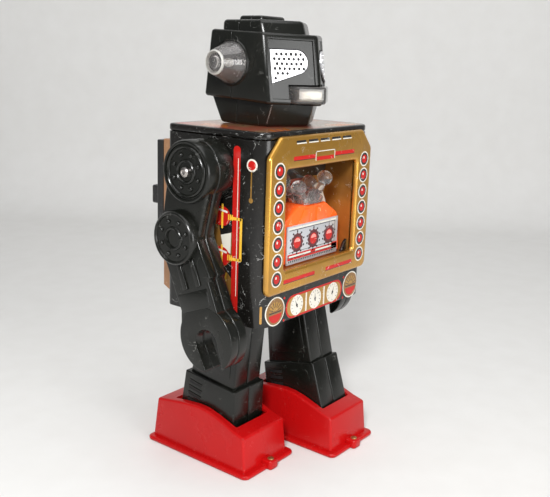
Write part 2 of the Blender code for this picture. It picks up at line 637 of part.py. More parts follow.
def make_arm(side, word, tilt):
    """One rigid arm of two moulded halves, on the shoulder shaft."""
    shoulder = pivot(word + "_arm", (0, 0, SHOULDER_Z), tilt)
    palm = [forearm_point(*p) for p in ((0, -15.3), (46, -14.2), (46, 14.2), (29.5, 14.2),
                                        (27.5, 16.6), (0, 15.0))]
    drum = arc((0, 0), 18.5, 0, 342, 19)
    elbow = arc(ELBOW, 16.3, 0, 342, 19)
    bore = rod(f"cut_arm_{word}_bore", "x", (side * 50, side * 85), (0, 0), BORE_R, sides=16)
    claw = claw_outline()
    layers = {
        "outer": (("drum", drum, 78.0), ("elbow", elbow, 80.0), ("palm", palm, 76.0),
                  ("claw", claw, 76.5)),
        "inner": (("drum", drum, BODY_HALF + 0.8), ("elbow", elbow, 60.5),
                  ("palm", palm, 60.5), ("claw", claw, 61.5)),
    }
    for half, seam, flat in (("outer", ARM_SEAM + GAP / 2, 74.6), ("inner", ARM_SEAM - GAP / 2,
                                                                  61.0)):
        name = f"arm_{word}_{half}"
        arm = outline(name, upper_arm_outline(), SIDE, span_on(side, seam, flat), CHARCOAL)
        attach(shoulder, arm)
        for layer, points, reach in layers[half]:
            tool = outline(f"join_{name}_{layer}", points, SIDE, span_on(side, seam, reach))
            join(arm, tool)
            attach(shoulder, tool)
        if half == "outer":
            for k, across in enumerate((-4.0, 7.0)):
                ridge = [forearm_point(*p) for p in ((15, across - 1.8), (31, across - 1.8),
                                                     (31, across + 1.8), (15, across + 1.8))]
                tool = outline(f"join_{name}_ridge_{k}", ridge, SIDE,
                               span_on(side, seam, 77.6))
                join(arm, tool)
                attach(shoulder, tool)
        cut(arm, bore)
    rivet = rod("shoulder_rivet_" + word, "x", (side * 78.3, side * 79.6), (0, 0), 3.0, STEEL,
                end_radius=1.6, sides=20)
    shank = rod(f"join_rivet_{word}", "x", (side * 74.3, side * 78.8), (0, 0), SHAFT_R,
                sides=16)
    join(rivet, shank)
    attach(shoulder, bore, rivet, shank)


# ---------------------------------------------------------------- head
def prow(ridge_y, corner, at_z, slope):
    """The two slanting planes of a face that meets in a ridge on the centre line."""
    planes = []
    for side in (-1, 1):
        planes.append(plane_through((0, ridge_y, at_z), (0, ridge_y - slope * 10, at_z - 10),
                                    (side * corner[0], corner[1], at_z), (side, -2, 0)))
    return planes


def level(y0, z0, y1, z1, outward):
    """A plane that is level along X, through two points of the side view."""
    return plane_through((-1, y0, z0), (1, y0, z0), (0, y1, z1), outward)


HEAD_RIDGE, HEAD_CORNER = -35.3, -17.6


def head_solids(tag, grow, keep_mat=None):
    """The four stacked blocks of the head, grown or shrunk by grow on every side.

    A shrunk neck reaches lower instead, so that the hollow head is open underneath.
    """
    g = grow
    skull = carved(tag + "skull", (-HEAD_HALF - g, HEAD_HALF + g), (-60, 50), (215, 290),
                   prow(HEAD_RIDGE - g * 1.2, (HEAD_HALF, HEAD_CORNER - g * 1.2), 250,
                        FACE_SLOPE)
                   + [level(25.6 + g, 272, 30.6 + g, 232, (0, 1, 0)),
                      level(-16, 270.3 + g, 25, 272 + g, (0, 0, 1)),
                      level(-20, 229.4 - g, 30, 232 - g, (0, 0, -1))], keep_mat)
    crown = carved(tag + "crown", (-23.5 - g, 23.5 + g), (-50, 40), (262, 277.8 + g),
                   prow(-22.5 - g * 1.2, (23.5, -8.8 - g * 1.2), 274, 0.3)
                   + [level(22.0 + g, 278, 22.6 + g, 262, (0, 1, 0))])
    ridge = block(tag + "top", (-12.0 - g, 12.0 + g), (0.5 - g, 19.0 + g), (270, 280.8 + g))
    neck = carved(tag + "neck", (-24.0 - g, 24.0 + g), (-50, 40), (CAP_TOP + GAP + 2 * g, 240),
                  prow(-31.5 - g * 1.2, (24.0, -18.0 - g * 1.2), 228, -0.3)
                  + [level(29.4 + g, 231, 22.3 + g, 217, (0, 1, 0))])
    return skull, crown, ridge, neck


def make_head():
    """Front and rear mouldings with eye plates, a mouth lens and an ear lens on each side."""
    cores = head_solids("cut_core_", -2.0)
    sockets = [rod(f"cut_ear_socket_{word}", "x", (side * 20, side * 40), (HEAD_SEAM, EAR_Z),
                   8.4) for side, word in SIDES]
    halves = (("front", (HEAD_SEAM - GAP / 2, 80.0)), ("rear", (HEAD_SEAM + GAP / 2, -80.0)))
    for half, waste in halves:
        skull, *others = head_solids(f"join_{half}_", 0.0, CHARCOAL)
        skull.name = f"head_{half}_shell"
        for solid, width in zip((skull, *others), (1.8, 2.4, 2.0, 2.2)):
            bevel(solid, width, 2, 30.0)
        join(skull, *others, solver="MANIFOLD")
        cut(skull, block(f"cut_head_{half}", (-60, 60), waste, (200, 300)), *cores, *sockets,
            solver="MANIFOLD")
        if half == "front":
            face = skull

    for side, word in SIDES:
        turned("ear_lens_" + word, [(0.0, 45.9), (3.4, 45.7), (3.6, 44.6), (5.6, 44.4),
                                    (6.3, 45.6), (7.1, 45.1), (11.6, 33.2), (12.6, 30.3),
                                    (8.0, 30.3), (8.0, 26.5), (0.0, 26.5)],
               (HEAD_SEAM, EAR_Z), side, CLEAR)
        make_eye(side, word)
    make_mouth(face)


def on_face(side, across, z, out=0.0):
    """A point of the face: across is the distance from the ridge, out is off the surface."""
    run = Vector((HEAD_HALF, HEAD_CORNER - HEAD_RIDGE, 0)).normalized()
    y = HEAD_RIDGE + FACE_SLOPE * (z - 250) + across * run.y - out * run.x
    return Vector((side * (across * run.x + out * run.y), y, z))


EYE_IN, EYE_OUT = 8.0, 31.5


def make_eye(side, word):
    """Perforated plate: straight at the corner, round towards the ridge."""
    low, high, narrow = 241.6, 261.0, 6.7
    middle = 254.0
    points = [(EYE_OUT, low), (EYE_OUT, high)]
    points += arc((EYE_IN + narrow, middle), narrow, 95, 250, 8)
    bm = bmesh.new()
    rings = [[bm.verts.new(on_face(side, a, z, out) * MM) for a, z in points]
             for out in (0.3, 1.1)]
    bm.faces.new(rings[0])
    bm.faces.new(rings[1])
    for k in range(len(points)):
        j = (k + 1) % len(points)
        bm.faces.new((rings[0][k], rings[0][j], rings[1][j], rings[1][k]))
    add_object("eye_plate_" + word, finish_mesh(bm, "eye_plate_" + word), SILVER_TIN)


MOUTH_Z = (229.6, 240.0)
MOUTH_HALF = 14.2


def make_mouth(face):
    """Clear block that wraps the ridge at the chin, in a slot cut through the face."""
    def wedge(name, half, front, rear, zs, mat=None):
        reach = (HEAD_CORNER - HEAD_RIDGE) / HEAD_HALF * half
        points = [(-half, front + reach), (0, front), (half, front + reach), (half, rear),
                  (-half, rear)]
        return outline(name, points, PLAN, zs, mat)
    front = HEAD_RIDGE + FACE_SLOPE * (235 - 250)
    lens = wedge("mouth_lens", MOUTH_HALF, front - 3.2, -20.0, MOUTH_Z, CLEAR)
    bevel(lens, 0.9, 2)
    slot = wedge("cut_mouth", MOUTH_HALF + 1.2, front - 9, -15.0, (MOUTH_Z[0] - 0.4, MOUTH_Z[1] + 0.8))
    cut(face, slot, solver="MANIFOLD")


make_body()
make_bezel()
make_engine()
make_power()
make_gearbox()
for side, word in SIDES:
    lead = -side                                # the right leg and the left arm are back
    make_leg(side, word, lead * LEG_SWING)
    make_foot(side, word, lead * STRIDE / 2)
    make_arm(side, word, 0.0 if side < 0 else LEG_SWING)
make_head()

# Set the robot over the middle of its own box.
recentre = -(KNOB_REAR + TOE_LUG - STRIDE / 2) / 2 * MM
for obj in [*parts.objects, *cutters.objects]:
    if obj.parent is None:
        obj.location.y += recentre
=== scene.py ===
"""A battery-driven walking toy robot in printed tin and moulded plastic.

Sizes are in millimetres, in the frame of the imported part: the robot faces -Y, its own
right side is at -X, and it stands on z = 0.
"""
import json
from math import atan2, cos, degrees, pi, radians, sin

import bmesh
import bpy
from mathutils import Matrix, Vector


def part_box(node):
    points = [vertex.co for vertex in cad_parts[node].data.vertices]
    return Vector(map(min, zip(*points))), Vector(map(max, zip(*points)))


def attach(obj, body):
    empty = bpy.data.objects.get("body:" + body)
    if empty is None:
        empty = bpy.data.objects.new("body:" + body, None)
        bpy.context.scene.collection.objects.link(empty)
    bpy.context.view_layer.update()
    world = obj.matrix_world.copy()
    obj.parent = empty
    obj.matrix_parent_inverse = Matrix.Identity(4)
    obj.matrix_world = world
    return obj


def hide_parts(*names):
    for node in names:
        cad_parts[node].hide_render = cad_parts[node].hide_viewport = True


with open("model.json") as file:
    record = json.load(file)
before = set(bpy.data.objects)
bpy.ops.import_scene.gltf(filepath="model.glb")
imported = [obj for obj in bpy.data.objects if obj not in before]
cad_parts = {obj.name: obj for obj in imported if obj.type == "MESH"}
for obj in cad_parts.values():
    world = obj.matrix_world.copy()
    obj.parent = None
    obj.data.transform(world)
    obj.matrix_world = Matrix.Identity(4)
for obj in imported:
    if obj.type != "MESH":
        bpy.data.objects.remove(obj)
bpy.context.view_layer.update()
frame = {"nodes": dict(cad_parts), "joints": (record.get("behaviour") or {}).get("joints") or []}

MM = 0.001
SIDES = ((-1, "right"), (1, "left"))
joint_at = {joint["name"]: Vector(joint.get("pos_m", (0, 0, 0))) / MM for joint in frame["joints"]}


def box_of_node(name):
    """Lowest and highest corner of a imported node, in millimetres."""
    return [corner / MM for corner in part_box(name)]


# ------------------------------------------------------------------ surface effects
# Handling marks that every finish shares: hairline scratches, soft clouds of grime
# and small specks. It is one node group, placed in each material with its own scales.
marks = bpy.data.node_groups.new("handling_marks", "ShaderNodeTree")
for socket, start in (("Scratch Scale", 70.0), ("Cloud Scale", 30.0), ("Speck Scale", 900.0),
                      ("Scratch Width", 0.006)):
    marks.interface.new_socket(socket, in_out="INPUT", socket_type="NodeSocketFloat")
    marks.interface.items_tree[socket].default_value = start
for socket in ("Scratches", "Clouds", "Specks", "Grain"):
    marks.interface.new_socket(socket, in_out="OUTPUT", socket_type="NodeSocketFloat")


def math_node(tree, operation, first, second=None, clamp=False):
    """A Math node; each operand is a number or another node's output."""
    node = tree.nodes.new("ShaderNodeMath")
    node.operation = operation
    node.use_clamp = clamp
    for socket, value in zip(node.inputs, (first, second)):
        if isinstance(value, (int, float)):
            socket.default_value = value
        elif value is not None:
            tree.links.new(value, socket)
    return node.outputs[0]


def noise_node(tree, where, scale, detail=4.0, distortion=0.0):
    node = tree.nodes.new("ShaderNodeTexNoise")
    tree.links.new(where, node.inputs["Vector"])
    node.inputs["Detail"].default_value = detail
    node.inputs["Distortion"].default_value = distortion
    if isinstance(scale, (int, float)):
        node.inputs["Scale"].default_value = scale
    else:
        tree.links.new(scale, node.inputs["Scale"])
    return node.outputs["Fac"]


def fill_marks(tree):
    inside = tree.nodes.new("NodeGroupInput")
    out = tree.nodes.new("NodeGroupOutput")
    where = tree.nodes.new("ShaderNodeTexCoord").outputs["Object"]
    line = noise_node(tree, where, inside.outputs["Scratch Scale"], 3.0, 1.6)
    offset = math_node(tree, "ABSOLUTE", math_node(tree, "SUBTRACT", line, 0.5))
    hair = math_node(tree, "LESS_THAN", offset, inside.outputs["Scratch Width"])
    broken = noise_node(tree, where, 160.0, 2.0)
    gate = math_node(tree, "GREATER_THAN", broken, 0.56)
    tree.links.new(math_node(tree, "MULTIPLY", hair, gate), out.inputs["Scratches"])
    tree.links.new(noise_node(tree, where, inside.outputs["Cloud Scale"], 5.0, 0.4),
                   out.inputs["Clouds"])
    speck = noise_node(tree, where, inside.outputs["Speck Scale"], 1.0)
    tree.links.new(math_node(tree, "GREATER_THAN", speck, 0.72), out.inputs["Specks"])
    tree.links.new(noise_node(tree, where, 2600.0, 2.0), out.inputs["Grain"])


fill_marks(marks)


def mixed(tree, share, first, second):
    """A colour mix; share is an output, the colours are tuples or outputs."""
    node = tree.nodes.new("ShaderNodeMix")
    node.data_type = "RGBA"
    tree.links.new(share, node.inputs["Factor"])
    for socket, value in ((node.inputs[6], first), (node.inputs[7], second)):
        if isinstance(value, tuple):
            socket.default_value = (*value, 1.0)
        else:
            tree.links.new(value, socket)
    return node.outputs[2]


def surface(name, colour, grime, scratch, roughness, metallic=0.0, coat=0.0, grain=0.04,
            scratch_width=0.006, speck=0.0, cloud=0.35, scratch_scale=70.0, painted_glow=None,
            shine=0.5):
    """A worn finish: colour clouded with grime, hairlines and specks in the scratch colour."""
    made = bpy.data.materials.new(name)
    made.use_nodes = True
    tree = made.node_tree
    shader = tree.nodes["Principled BSDF"]
    shader.inputs["Specular IOR Level"].default_value = shine
    group = tree.nodes.new("ShaderNodeGroup")
    group.node_tree = marks
    group.inputs["Scratch Width"].default_value = scratch_width
    group.inputs["Scratch Scale"].default_value = scratch_scale
    spread = math_node(tree, "MULTIPLY", math_node(tree, "SUBTRACT", group.outputs["Clouds"], 0.42,
                                                   True), cloud * 4.0, True)
    worn = mixed(tree, spread, colour, grime)
    lines = math_node(tree, "MULTIPLY", group.outputs["Scratches"], 0.75)
    if speck:
        dots = math_node(tree, "MULTIPLY", group.outputs["Specks"], speck)
        lines = math_node(tree, "MAXIMUM", lines, dots)
    tree.links.new(mixed(tree, lines, worn, scratch), shader.inputs["Base Color"])
    dull = math_node(tree, "MULTIPLY", group.outputs["Clouds"], 0.22)
    tree.links.new(math_node(tree, "ADD", dull, roughness - 0.1), shader.inputs["Roughness"])
    bump = tree.nodes.new("ShaderNodeBump")
    bump.inputs["Strength"].default_value = grain
    bump.inputs["Distance"].default_value = 0.0002
    tree.links.new(group.outputs["Grain"], bump.inputs["Height"])
    tree.links.new(bump.outputs["Normal"], shader.inputs["Normal"])
    shader.inputs["Metallic"].default_value = metallic
    shader.inputs["Coat Weight"].default_value = coat
    shader.inputs["Coat Roughness"].default_value = 0.12
    # painted_glow: a faint emission, a painted glow that makes the part shine though it is no lamp
    if painted_glow:
        shader.inputs["Emission Color"].default_value = (*painted_glow, 1.0)
        shader.inputs["Emission Strength"].default_value = 0.25
    return made


# ------------------------------------------------------------------ body of printed tin
# One sheet of lithographed tin bent round the body, open at the back and cut out for the
# window. It is folded from an edge path, and the lacquered black print is chipped.
BLACK_TIN = surface("black_litho_tin", (0.006, 0.0055, 0.005), (0.014, 0.012, 0.009),
                    (0.42, 0.42, 0.40), 0.22, coat=0.2, scratch_width=0.0045, speck=0.16,
                    cloud=0.3, shine=0.4)
SHEET = 1.0
body_low, body_high = box_of_node("body_wrap")
BODY_HALF, FRONT, REAR = body_high.x, body_low.y, body_high.y
FRONT_R, REAR_R = 9.0, 5.0


def arc(centre, radius, start, end, steps):
    """Points of an arc, with angles in degrees from the first axis."""
    turns = [radians(start + (end - start) * k / steps) for k in range(steps + 1)]
    return [(centre[0] + radius * cos(a), centre[1] + radius * sin(a)) for a in turns]


def body_plan(inset=0.0):
    """Left half of the body's plan, from the rear to the front."""
    x, front, rear = BODY_HALF - inset, FRONT + inset, REAR - inset
    back_r, front_r = REAR_R - inset, FRONT_R - inset
    return (arc((x - back_r, rear - back_r), back_r, 90, 0, 6)
            + arc((x - front_r, front + front_r), front_r, 0, -90, 12))


def both_sides(half):
    return half + [(-u, v) for u, v in reversed(half)]


def finished(name, bm, body, finish, replaced=(), sharp=35.0):
    """A piece from a bmesh: merged, facing outwards, smooth up to an angle, on its body."""
    bmesh.ops.remove_doubles(bm, verts=bm.verts, dist=0.000001)
    bmesh.ops.recalc_face_normals(bm, faces=bm.faces)
    mesh = bpy.data.meshes.new(name)
    bm.to_mesh(mesh)
    bm.free()
    mesh.shade_smooth()
    mesh.set_sharp_from_angle(angle=radians(sharp))
    mesh.materials.append(finish)
    piece = bpy.data.objects.new(name, mesh)
    bpy.context.scene.collection.objects.link(piece)
    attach(piece, body)
    if replaced:
        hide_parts(*replaced)
    return piece


def slab(points, span, across, edge=0.0, steps=3, angle=40.0):
    """A flat outline pushed out along axis number across, with its edges rounded."""
    bm = bmesh.new()
    first, second = [axis for axis in range(3) if axis != across]
    verts = []
    for u, v in points:
        place = Vector((0, 0, 0))
        place[first], place[second], place[across] = u, v, span[0]
        verts.append(bm.verts.new(place * MM))
    grown = bmesh.ops.extrude_face_region(bm, geom=[bm.faces.new(verts)])
    push = Vector((0, 0, 0))
    push[across] = (span[1] - span[0]) * MM
    bmesh.ops.translate(bm, vec=push,
                        verts=[v for v in grown["geom"] if isinstance(v, bmesh.types.BMVert)])
    bmesh.ops.recalc_face_normals(bm, faces=bm.faces)
    if edge:
        round_edges(bm, edge, steps, angle)
    return bm


def every_part(bm):
    return bm.verts[:] + bm.edges[:] + bm.faces[:]


def round_edges(bm, width, steps=3, angle=40.0):
    sharp = [e for e in bm.edges if len(e.link_faces) == 2 and e.calc_face_angle() > radians(angle)]
    bmesh.ops.bevel(bm, geom=sharp, offset=width * MM, segments=steps, profile=0.5,
                    affect="EDGES", material=-1, clamp_overlap=True)


def gathered(*parts):
    """Several closed bmeshes as one."""
    whole = bmesh.new()
    for part in parts:
        spare = bpy.data.meshes.new("spare")
        part.to_mesh(spare)
        part.free()
        whole.from_mesh(spare)
        bpy.data.meshes.remove(spare)
    return whole


def cut_out(bm, *tools):
    """The bmesh with closed tools taken away by an applied Boolean."""
    objects = []
    for number, part in enumerate((bm, gathered(*tools))):
        mesh = bpy.data.meshes.new(f"cut_{number}")
        bmesh.ops.recalc_face_normals(part, faces=part.faces)
        part.to_mesh(mesh)
        part.free()
        objects.append(bpy.data.objects.new(mesh.name, mesh))
        bpy.context.scene.collection.objects.link(objects[-1])
    boolean = objects[0].modifiers.new("cut", "BOOLEAN")
    boolean.operation = "DIFFERENCE"
    boolean.solver = "EXACT"
    boolean.use_self = True
    boolean.object = objects[1]
    bpy.context.view_layer.update()
    evaluated = objects[0].evaluated_get(bpy.context.evaluated_depsgraph_get())
    result = bmesh.new()
    result.from_mesh(evaluated.to_mesh())
    evaluated.to_mesh_clear()
    for obj in objects:
        bpy.data.meshes.remove(obj.data)
    return result


def make_wrap():
    path = both_sides([(47.0, REAR)] + body_plan())
    window = (39.5, 131.5, 196.5)
    bm = bmesh.new()
    row = [bm.verts.new(Vector((x, y, body_low.z)) * MM) for x, y in path]
    edges = [bm.edges.new(pair) for pair in zip(row, row[1:])]
    for z in (window[1], window[2], body_high.z):
        grown = bmesh.ops.extrude_edge_only(bm, edges=edges)
        top = [v for v in grown["geom"] if isinstance(v, bmesh.types.BMVert)]
        for v in top:
            v.co.z = z * MM
        edges = [e for e in grown["geom"] if isinstance(e, bmesh.types.BMEdge)
                 and all(v in top for v in e.verts)]
    for side in (-1, 1):
        bmesh.ops.bisect_plane(bm, geom=every_part(bm), plane_no=(side, 0, 0),
                               plane_co=(side * window[0] * MM, 0, 0))
    hole = []
    for face in bm.faces:
        middle = face.calc_center_median() / MM
        if abs(middle.x) < window[0] and window[1] < middle.z < window[2] and middle.y < 0:
            hole.append(face)
    bmesh.ops.delete(bm, geom=hole, context="FACES")
    bmesh.ops.recalc_face_normals(bm, faces=bm.faces)
    side_face = max(bm.faces, key=lambda face: face.calc_center_median().x)
    if side_face.normal.x < 0:
        bmesh.ops.reverse_faces(bm, faces=bm.faces)
    bmesh.ops.solidify(bm, geom=bm.faces[:], thickness=SHEET * MM)
    finished("body_tin_wrap", bm, "torso", BLACK_TIN, ["body_wrap"])


make_wrap()

# ------------------------------------------------------------------ top of the body
# A shallow pressed lid with a rolled edge. Its print is a gold and red panel round the
# neck, so it is a lid and a thin layer of ink over it.
TOP_INK = surface("top_litho_print", (0.36, 0.24, 0.12), (0.50, 0.055, 0.035),
                  (0.62, 0.58, 0.50), 0.28, metallic=0.3, coat=0.6, cloud=1.1, speck=0.25,
                  scratch_width=0.008)
ORANGE_INK = surface("orange_litho_print", (0.72, 0.20, 0.02), (0.45, 0.10, 0.02),
                     (0.7, 0.6, 0.5), 0.26, metallic=0.3, coat=0.6)
cap_low, cap_high = box_of_node("body_top_cap")


def make_top():
    lid = slab(both_sides(body_plan()), (cap_low.z, cap_high.z), 2, 1.3, 4, 60)
    finished("body_tin_lid", lid, "torso", BLACK_TIN, ["body_top_cap"])
    ink = slab(both_sides(body_plan(3.2)), (cap_high.z, cap_high.z + 0.05), 2)
    finished("lid_print_panel", ink, "torso", TOP_INK)
    stripes = []
    for side in (-1, 1):
        for x in (43.0, 36.5, 30.0):
            stripes.append(slab([(side * x, FRONT + 4), (side * (x - 3.4), FRONT + 4),
                                 (side * (x - 9.4), FRONT + 13), (side * (x - 6), FRONT + 13)],
                                (cap_high.z + 0.05, cap_high.z + 0.09), 2))
        stripes.append(slab([(side * 34, 4), (side * 46, -6), (side * 46, 16), (side * 34, 22)],
                            (cap_high.z + 0.05, cap_high.z + 0.09), 2))
    finished("lid_print_stripes", gathered(*stripes), "torso", ORANGE_INK)


make_top()

# ------------------------------------------------------------------ print on the body
# Coloured inks of the lithographed tin: thin layers laid on the wrap. A layer is drawn
# flat, as distance round the body from the middle of the front, and then wrapped round.
RED_INK = surface("red_litho_print", (0.50, 0.014, 0.010), (0.36, 0.010, 0.008),
                  (0.8, 0.7, 0.62), 0.22, coat=0.15, shine=0.3)
WHITE_INK = surface("white_litho_print", (0.74, 0.71, 0.63), (0.58, 0.52, 0.40),
                    (0.2, 0.18, 0.15), 0.28, coat=0.6)
GOLD_INK = surface("gold_litho_print", (0.50, 0.27, 0.055), (0.30, 0.15, 0.03),
                   (0.75, 0.65, 0.45), 0.3, metallic=0.55, coat=0.5)
YELLOW_INK = surface("yellow_litho_print", (0.86, 0.50, 0.045), (0.66, 0.33, 0.03),
                     (0.9, 0.8, 0.6), 0.26, coat=0.6)
BROWN_INK = surface("gold_brown_litho_print", (0.27, 0.13, 0.028), (0.16, 0.075, 0.018),
                    (0.6, 0.5, 0.35), 0.3, metallic=0.3, coat=0.6)
BLACK_INK = surface("black_litho_print", (0.010, 0.009, 0.009), (0.02, 0.018, 0.015),
                    (0.5, 0.5, 0.48), 0.24, coat=0.6)
INK = 0.05
FLAT = BODY_HALF - FRONT_R            # half of the flat front
BEND = FRONT_R * pi / 2               # length round a front corner


def on_wrap(u, z, out):
    """The point at distance u round the body from the front's middle, out off the sheet."""
    side, run = (-1 if u < 0 else 1), abs(u)
    if run < FLAT:
        return Vector((u, FRONT - out, z))
    if run < FLAT + BEND:
        a = (run - FLAT) / FRONT_R
        reach = FRONT_R + out
        return Vector((side * (FLAT + reach * sin(a)), FRONT + FRONT_R - reach * cos(a), z))
    return Vector((side * (BODY_HALF + out), FRONT + FRONT_R + run - FLAT - BEND, z))


def layer(points, level=1):
    """An ink layer on the wrap; a higher level lies over a lower one."""
    bm = slab(points, (INK * (level - 1), INK * level), 1)
    for side in (-1, 1):
        for k in range(13):
            u = side * (FLAT + BEND * k / 12) * MM
            bmesh.ops.bisect_plane(bm, geom=every_part(bm),
                                   plane_co=(u, 0, 0), plane_no=(1, 0, 0))
    for v in bm.verts:
        v.co = on_wrap(v.co.x / MM, v.co.z / MM, v.co.y / MM) * MM
    return bm


def disc(centre, radius, start=0, end=360, steps=32, squeeze=1.0):
    """Outline of a round ink spot or of a sector of one."""
    points = arc((0, 0), radius, start, end, steps)
    if end - start == 360:
        points = points[:-1]
    return [(centre[0] + u * squeeze, centre[1] + v) for u, v in points]


def bar(u0, u1, z0, z1, radius=0.0):
    """A bar with round or square ends."""
    if not radius:
        return [(u0, z0), (u1, z0), (u1, z1), (u0, z1)]
    corners = ((u1 - radius, z1 - radius, 0), (u0 + radius, z1 - radius, 90),
               (u0 + radius, z0 + radius, 180), (u1 - radius, z0 + radius, 270))
    return [p for u, z, start in corners for p in arc((u, z), radius, start, start + 90, 6)]


def turned_about(points, centre, angle):
    a = radians(angle)
    return [(centre[0] + (u - centre[0]) * cos(a) - (z - centre[1]) * sin(a),
             centre[1] + (u - centre[0]) * sin(a) + (z - centre[1]) * cos(a)) for u, z in points]


def printed(name, ink, *layers):
    finished(name, gathered(*layers), "torso", ink)


GAUGE_Z = 108.6
GAUGES = (-19.4, 0.0, 19.4)


def print_gauges():
    """The instrument panel under the chest: three dials in a red-edged frame."""
    printed("panel_red_edge", RED_INK, layer(bar(-30.6, 30.6, 101.2, 116.0, 7.3)))
    printed("panel_gold_ground", GOLD_INK, layer(bar(-29.2, 29.2, 102.5, 114.7, 6.0), 2))
    printed("panel_dividers", WHITE_INK,
            *[layer(bar(u - 0.7, u + 0.7, 102.6, 114.6), 3) for u in (-9.7, 9.7)],
            *[layer(disc((u, GAUGE_Z), 6.5), 3) for u in GAUGES])
    faces = [layer(bar(u - 0.22, u + 0.22, GAUGE_Z - 5.6, GAUGE_Z - 4.7), 4) for u in GAUGES]
    for u, angle in zip(GAUGES, (28, 4, -24)):
        for k in range(11):
            tick = bar(u - 0.14, u + 0.14, GAUGE_Z + 4.5, GAUGE_Z + 5.7)
            faces.append(layer(turned_about(tick, (u, GAUGE_Z), -130 + 26 * k), 4))
        needle = [(u - 0.55, GAUGE_Z - 1.6), (u + 0.55, GAUGE_Z - 1.6), (u, GAUGE_Z + 4.2)]
        faces.append(layer(turned_about(needle, (u, GAUGE_Z), angle), 4))
        faces.append(layer(disc((u, GAUGE_Z), 0.9), 5))
    printed("gauge_needles_and_ticks", BLACK_INK, *faces)


def print_corner(side, word):
    """Round emblem, red button and gold lines beside and on the front corner."""
    u, z = side * 40.8, 109.4
    printed(f"emblem_ring_{word}", WHITE_INK, layer(disc((u, z), 9.0, steps=48)))
    printed(f"emblem_ground_{word}", BROWN_INK, layer(disc((u, z), 8.2, steps=48), 2))
    printed(f"emblem_dome_{word}", RED_INK, layer(disc((u, z - 0.8), 6.3, 190, 350), 3))
    gold = [layer(disc((u, z - 0.2), 6.2, 8, 172), 3),
            layer(bar(side * 52.4 - 0.7, side * 52.4 + 0.7, 103.6, 114.5, 0.6)),
            layer(bar(side * 60.4 - 0.45, side * 60.4 + 0.45, 178.4, 193.2)),
            layer(disc((side * 60.4, 176.8), 1.5))]
    printed(f"corner_gold_{word}", GOLD_INK, *gold)
    marks_on = [layer(turned_about(bar(u - 0.2, u + 0.2, z + 2.6, z + 6.0), (u, z), 24 * k - 72), 4)
                for k in range(7)]
    marks_on.append(layer(bar(u - 5.8, u + 5.8, z - 0.9, z - 0.3), 4))
    printed(f"emblem_marks_{word}", BLACK_INK, *marks_on)
    printed(f"corner_button_ring_{word}", WHITE_INK, layer(disc((side * 60.3, 196.9), 3.7)))
    printed(f"corner_button_{word}", RED_INK, layer(disc((side * 60.3, 196.9), 2.7), 2),
            layer(disc((side * 32.2, 115.9), 0.8)), layer(disc((side * 32.2, 101.9), 0.8)))


def print_side(side, word):
    """Printed machinery of the body's side: a long pipe, two round vessels and brackets."""
    def at(y):
        return side * (FLAT + BEND + y - FRONT - FRONT_R)

    def box_of(y0, y1, z0, z1, radius=0.0):
        u0, u1 = sorted((at(y0), at(y1)))
        return bar(u0, u1, z0, z1, radius)

    printed(f"side_ground_{word}", BROWN_INK,
            layer([(at(-19.0), 157.0), (at(6.0), 166.0), (at(6.0), 110.0), (at(-15.0), 107.0),
                   (at(-19.4), 120.0)]))
    printed(f"side_shade_{word}", BLACK_INK,
            layer([(at(-19.2), 156.5), (at(-10.5), 152.5), (at(-8), 163.5), (at(-19.0), 172)], 2),
            layer([(at(-19.3), 139.0), (at(-13.0), 134.0), (at(-19.3), 128.0)], 2))
    printed(f"side_patch_{word}", WHITE_INK,
            layer([(at(-10.4), 153.4), (at(-18.4), 155.8), (at(-18.2), 143.2), (at(-12.6), 145.0)],
                  3))
    printed(f"side_pipe_{word}", RED_INK, layer(box_of(-24.4, -19.2, 102.5, 207.0, 2.5), 3))
    vessels = []
    bands = [layer(box_of(-26.8, -25.0, 140.0, 165.4), 4),
             layer(box_of(-26.2, -17.6, 163.8, 165.5), 4),
             layer(box_of(-26.2, -17.6, 139.4, 141.1), 4),
             layer(box_of(-15.4, -9.4, 131.0, 132.6), 3), layer(box_of(-15.4, -13.9, 127.0, 132.6), 3),
             layer(box_of(-15.4, -9.8, 125.6, 127.1), 3), layer(disc((at(-11.6), 124.0), 1.5), 3)]
    for z in (164.9, 140.6):
        vessels.append(layer(disc((at(-11.9), z), 5.7), 4))
        vessels.append(layer(box_of(-11.9, -3.0, z - 5.7, z + 5.7), 3))
        bands.append(layer(box_of(-12.2, -10.8, z - 7.4, z + 7.4, 0.6), 5))
        for k in range(3):
            bands.append(layer(box_of(-19.6 + 1.4 * k, -18.7 + 1.4 * k, z - 1.7, z + 1.7), 5))
    printed(f"side_vessels_{word}", RED_INK, *vessels)
    printed(f"side_bands_{word}", YELLOW_INK, *bands)
    glints = []
    for z in (164.9, 140.6):
        glints.append(layer(turned_about(box_of(-15.6, -9.0, z + 2.7, z + 3.9, 0.55),
                                         (at(-12), z + 3.3), side * 9), 6))
    glints.append(layer(box_of(-23.2, -22.7, 118.0, 200.0, 0.2), 4))
    printed(f"side_glints_{word}", WHITE_INK, *glints)


print_gauges()
for side, word in SIDES:
    print_corner(side, word)
    print_side(side, word)

# ------------------------------------------------------------------ chest frame
# A pressed and gilded tin frame with rolled edges and cut top corners. It is an extruded
# outline with the window cut out of it, clipped to the front of the body.
GILT = surface("gilt_litho_tin", (0.62, 0.32, 0.045), (0.36, 0.18, 0.045), (0.85, 0.75, 0.55),
               0.28, metallic=0.8, coat=0.45, cloud=0.45, scratch_width=0.003)
bezel_low, bezel_high = box_of_node("chest_bezel")
WINDOW = (37.0, 134.0, 194.0)         # half width, bottom and top
FRAME_BARS = ((-32.0, -10.4, 200.1), (10.4, 32.0, 200.1), (-37.7, -6.0, 127.4),
              (6.0, 36.0, 127.4))
FRAME_SLOTS = (-29.5, -17.5, -5.5, 6.5, 18.5)


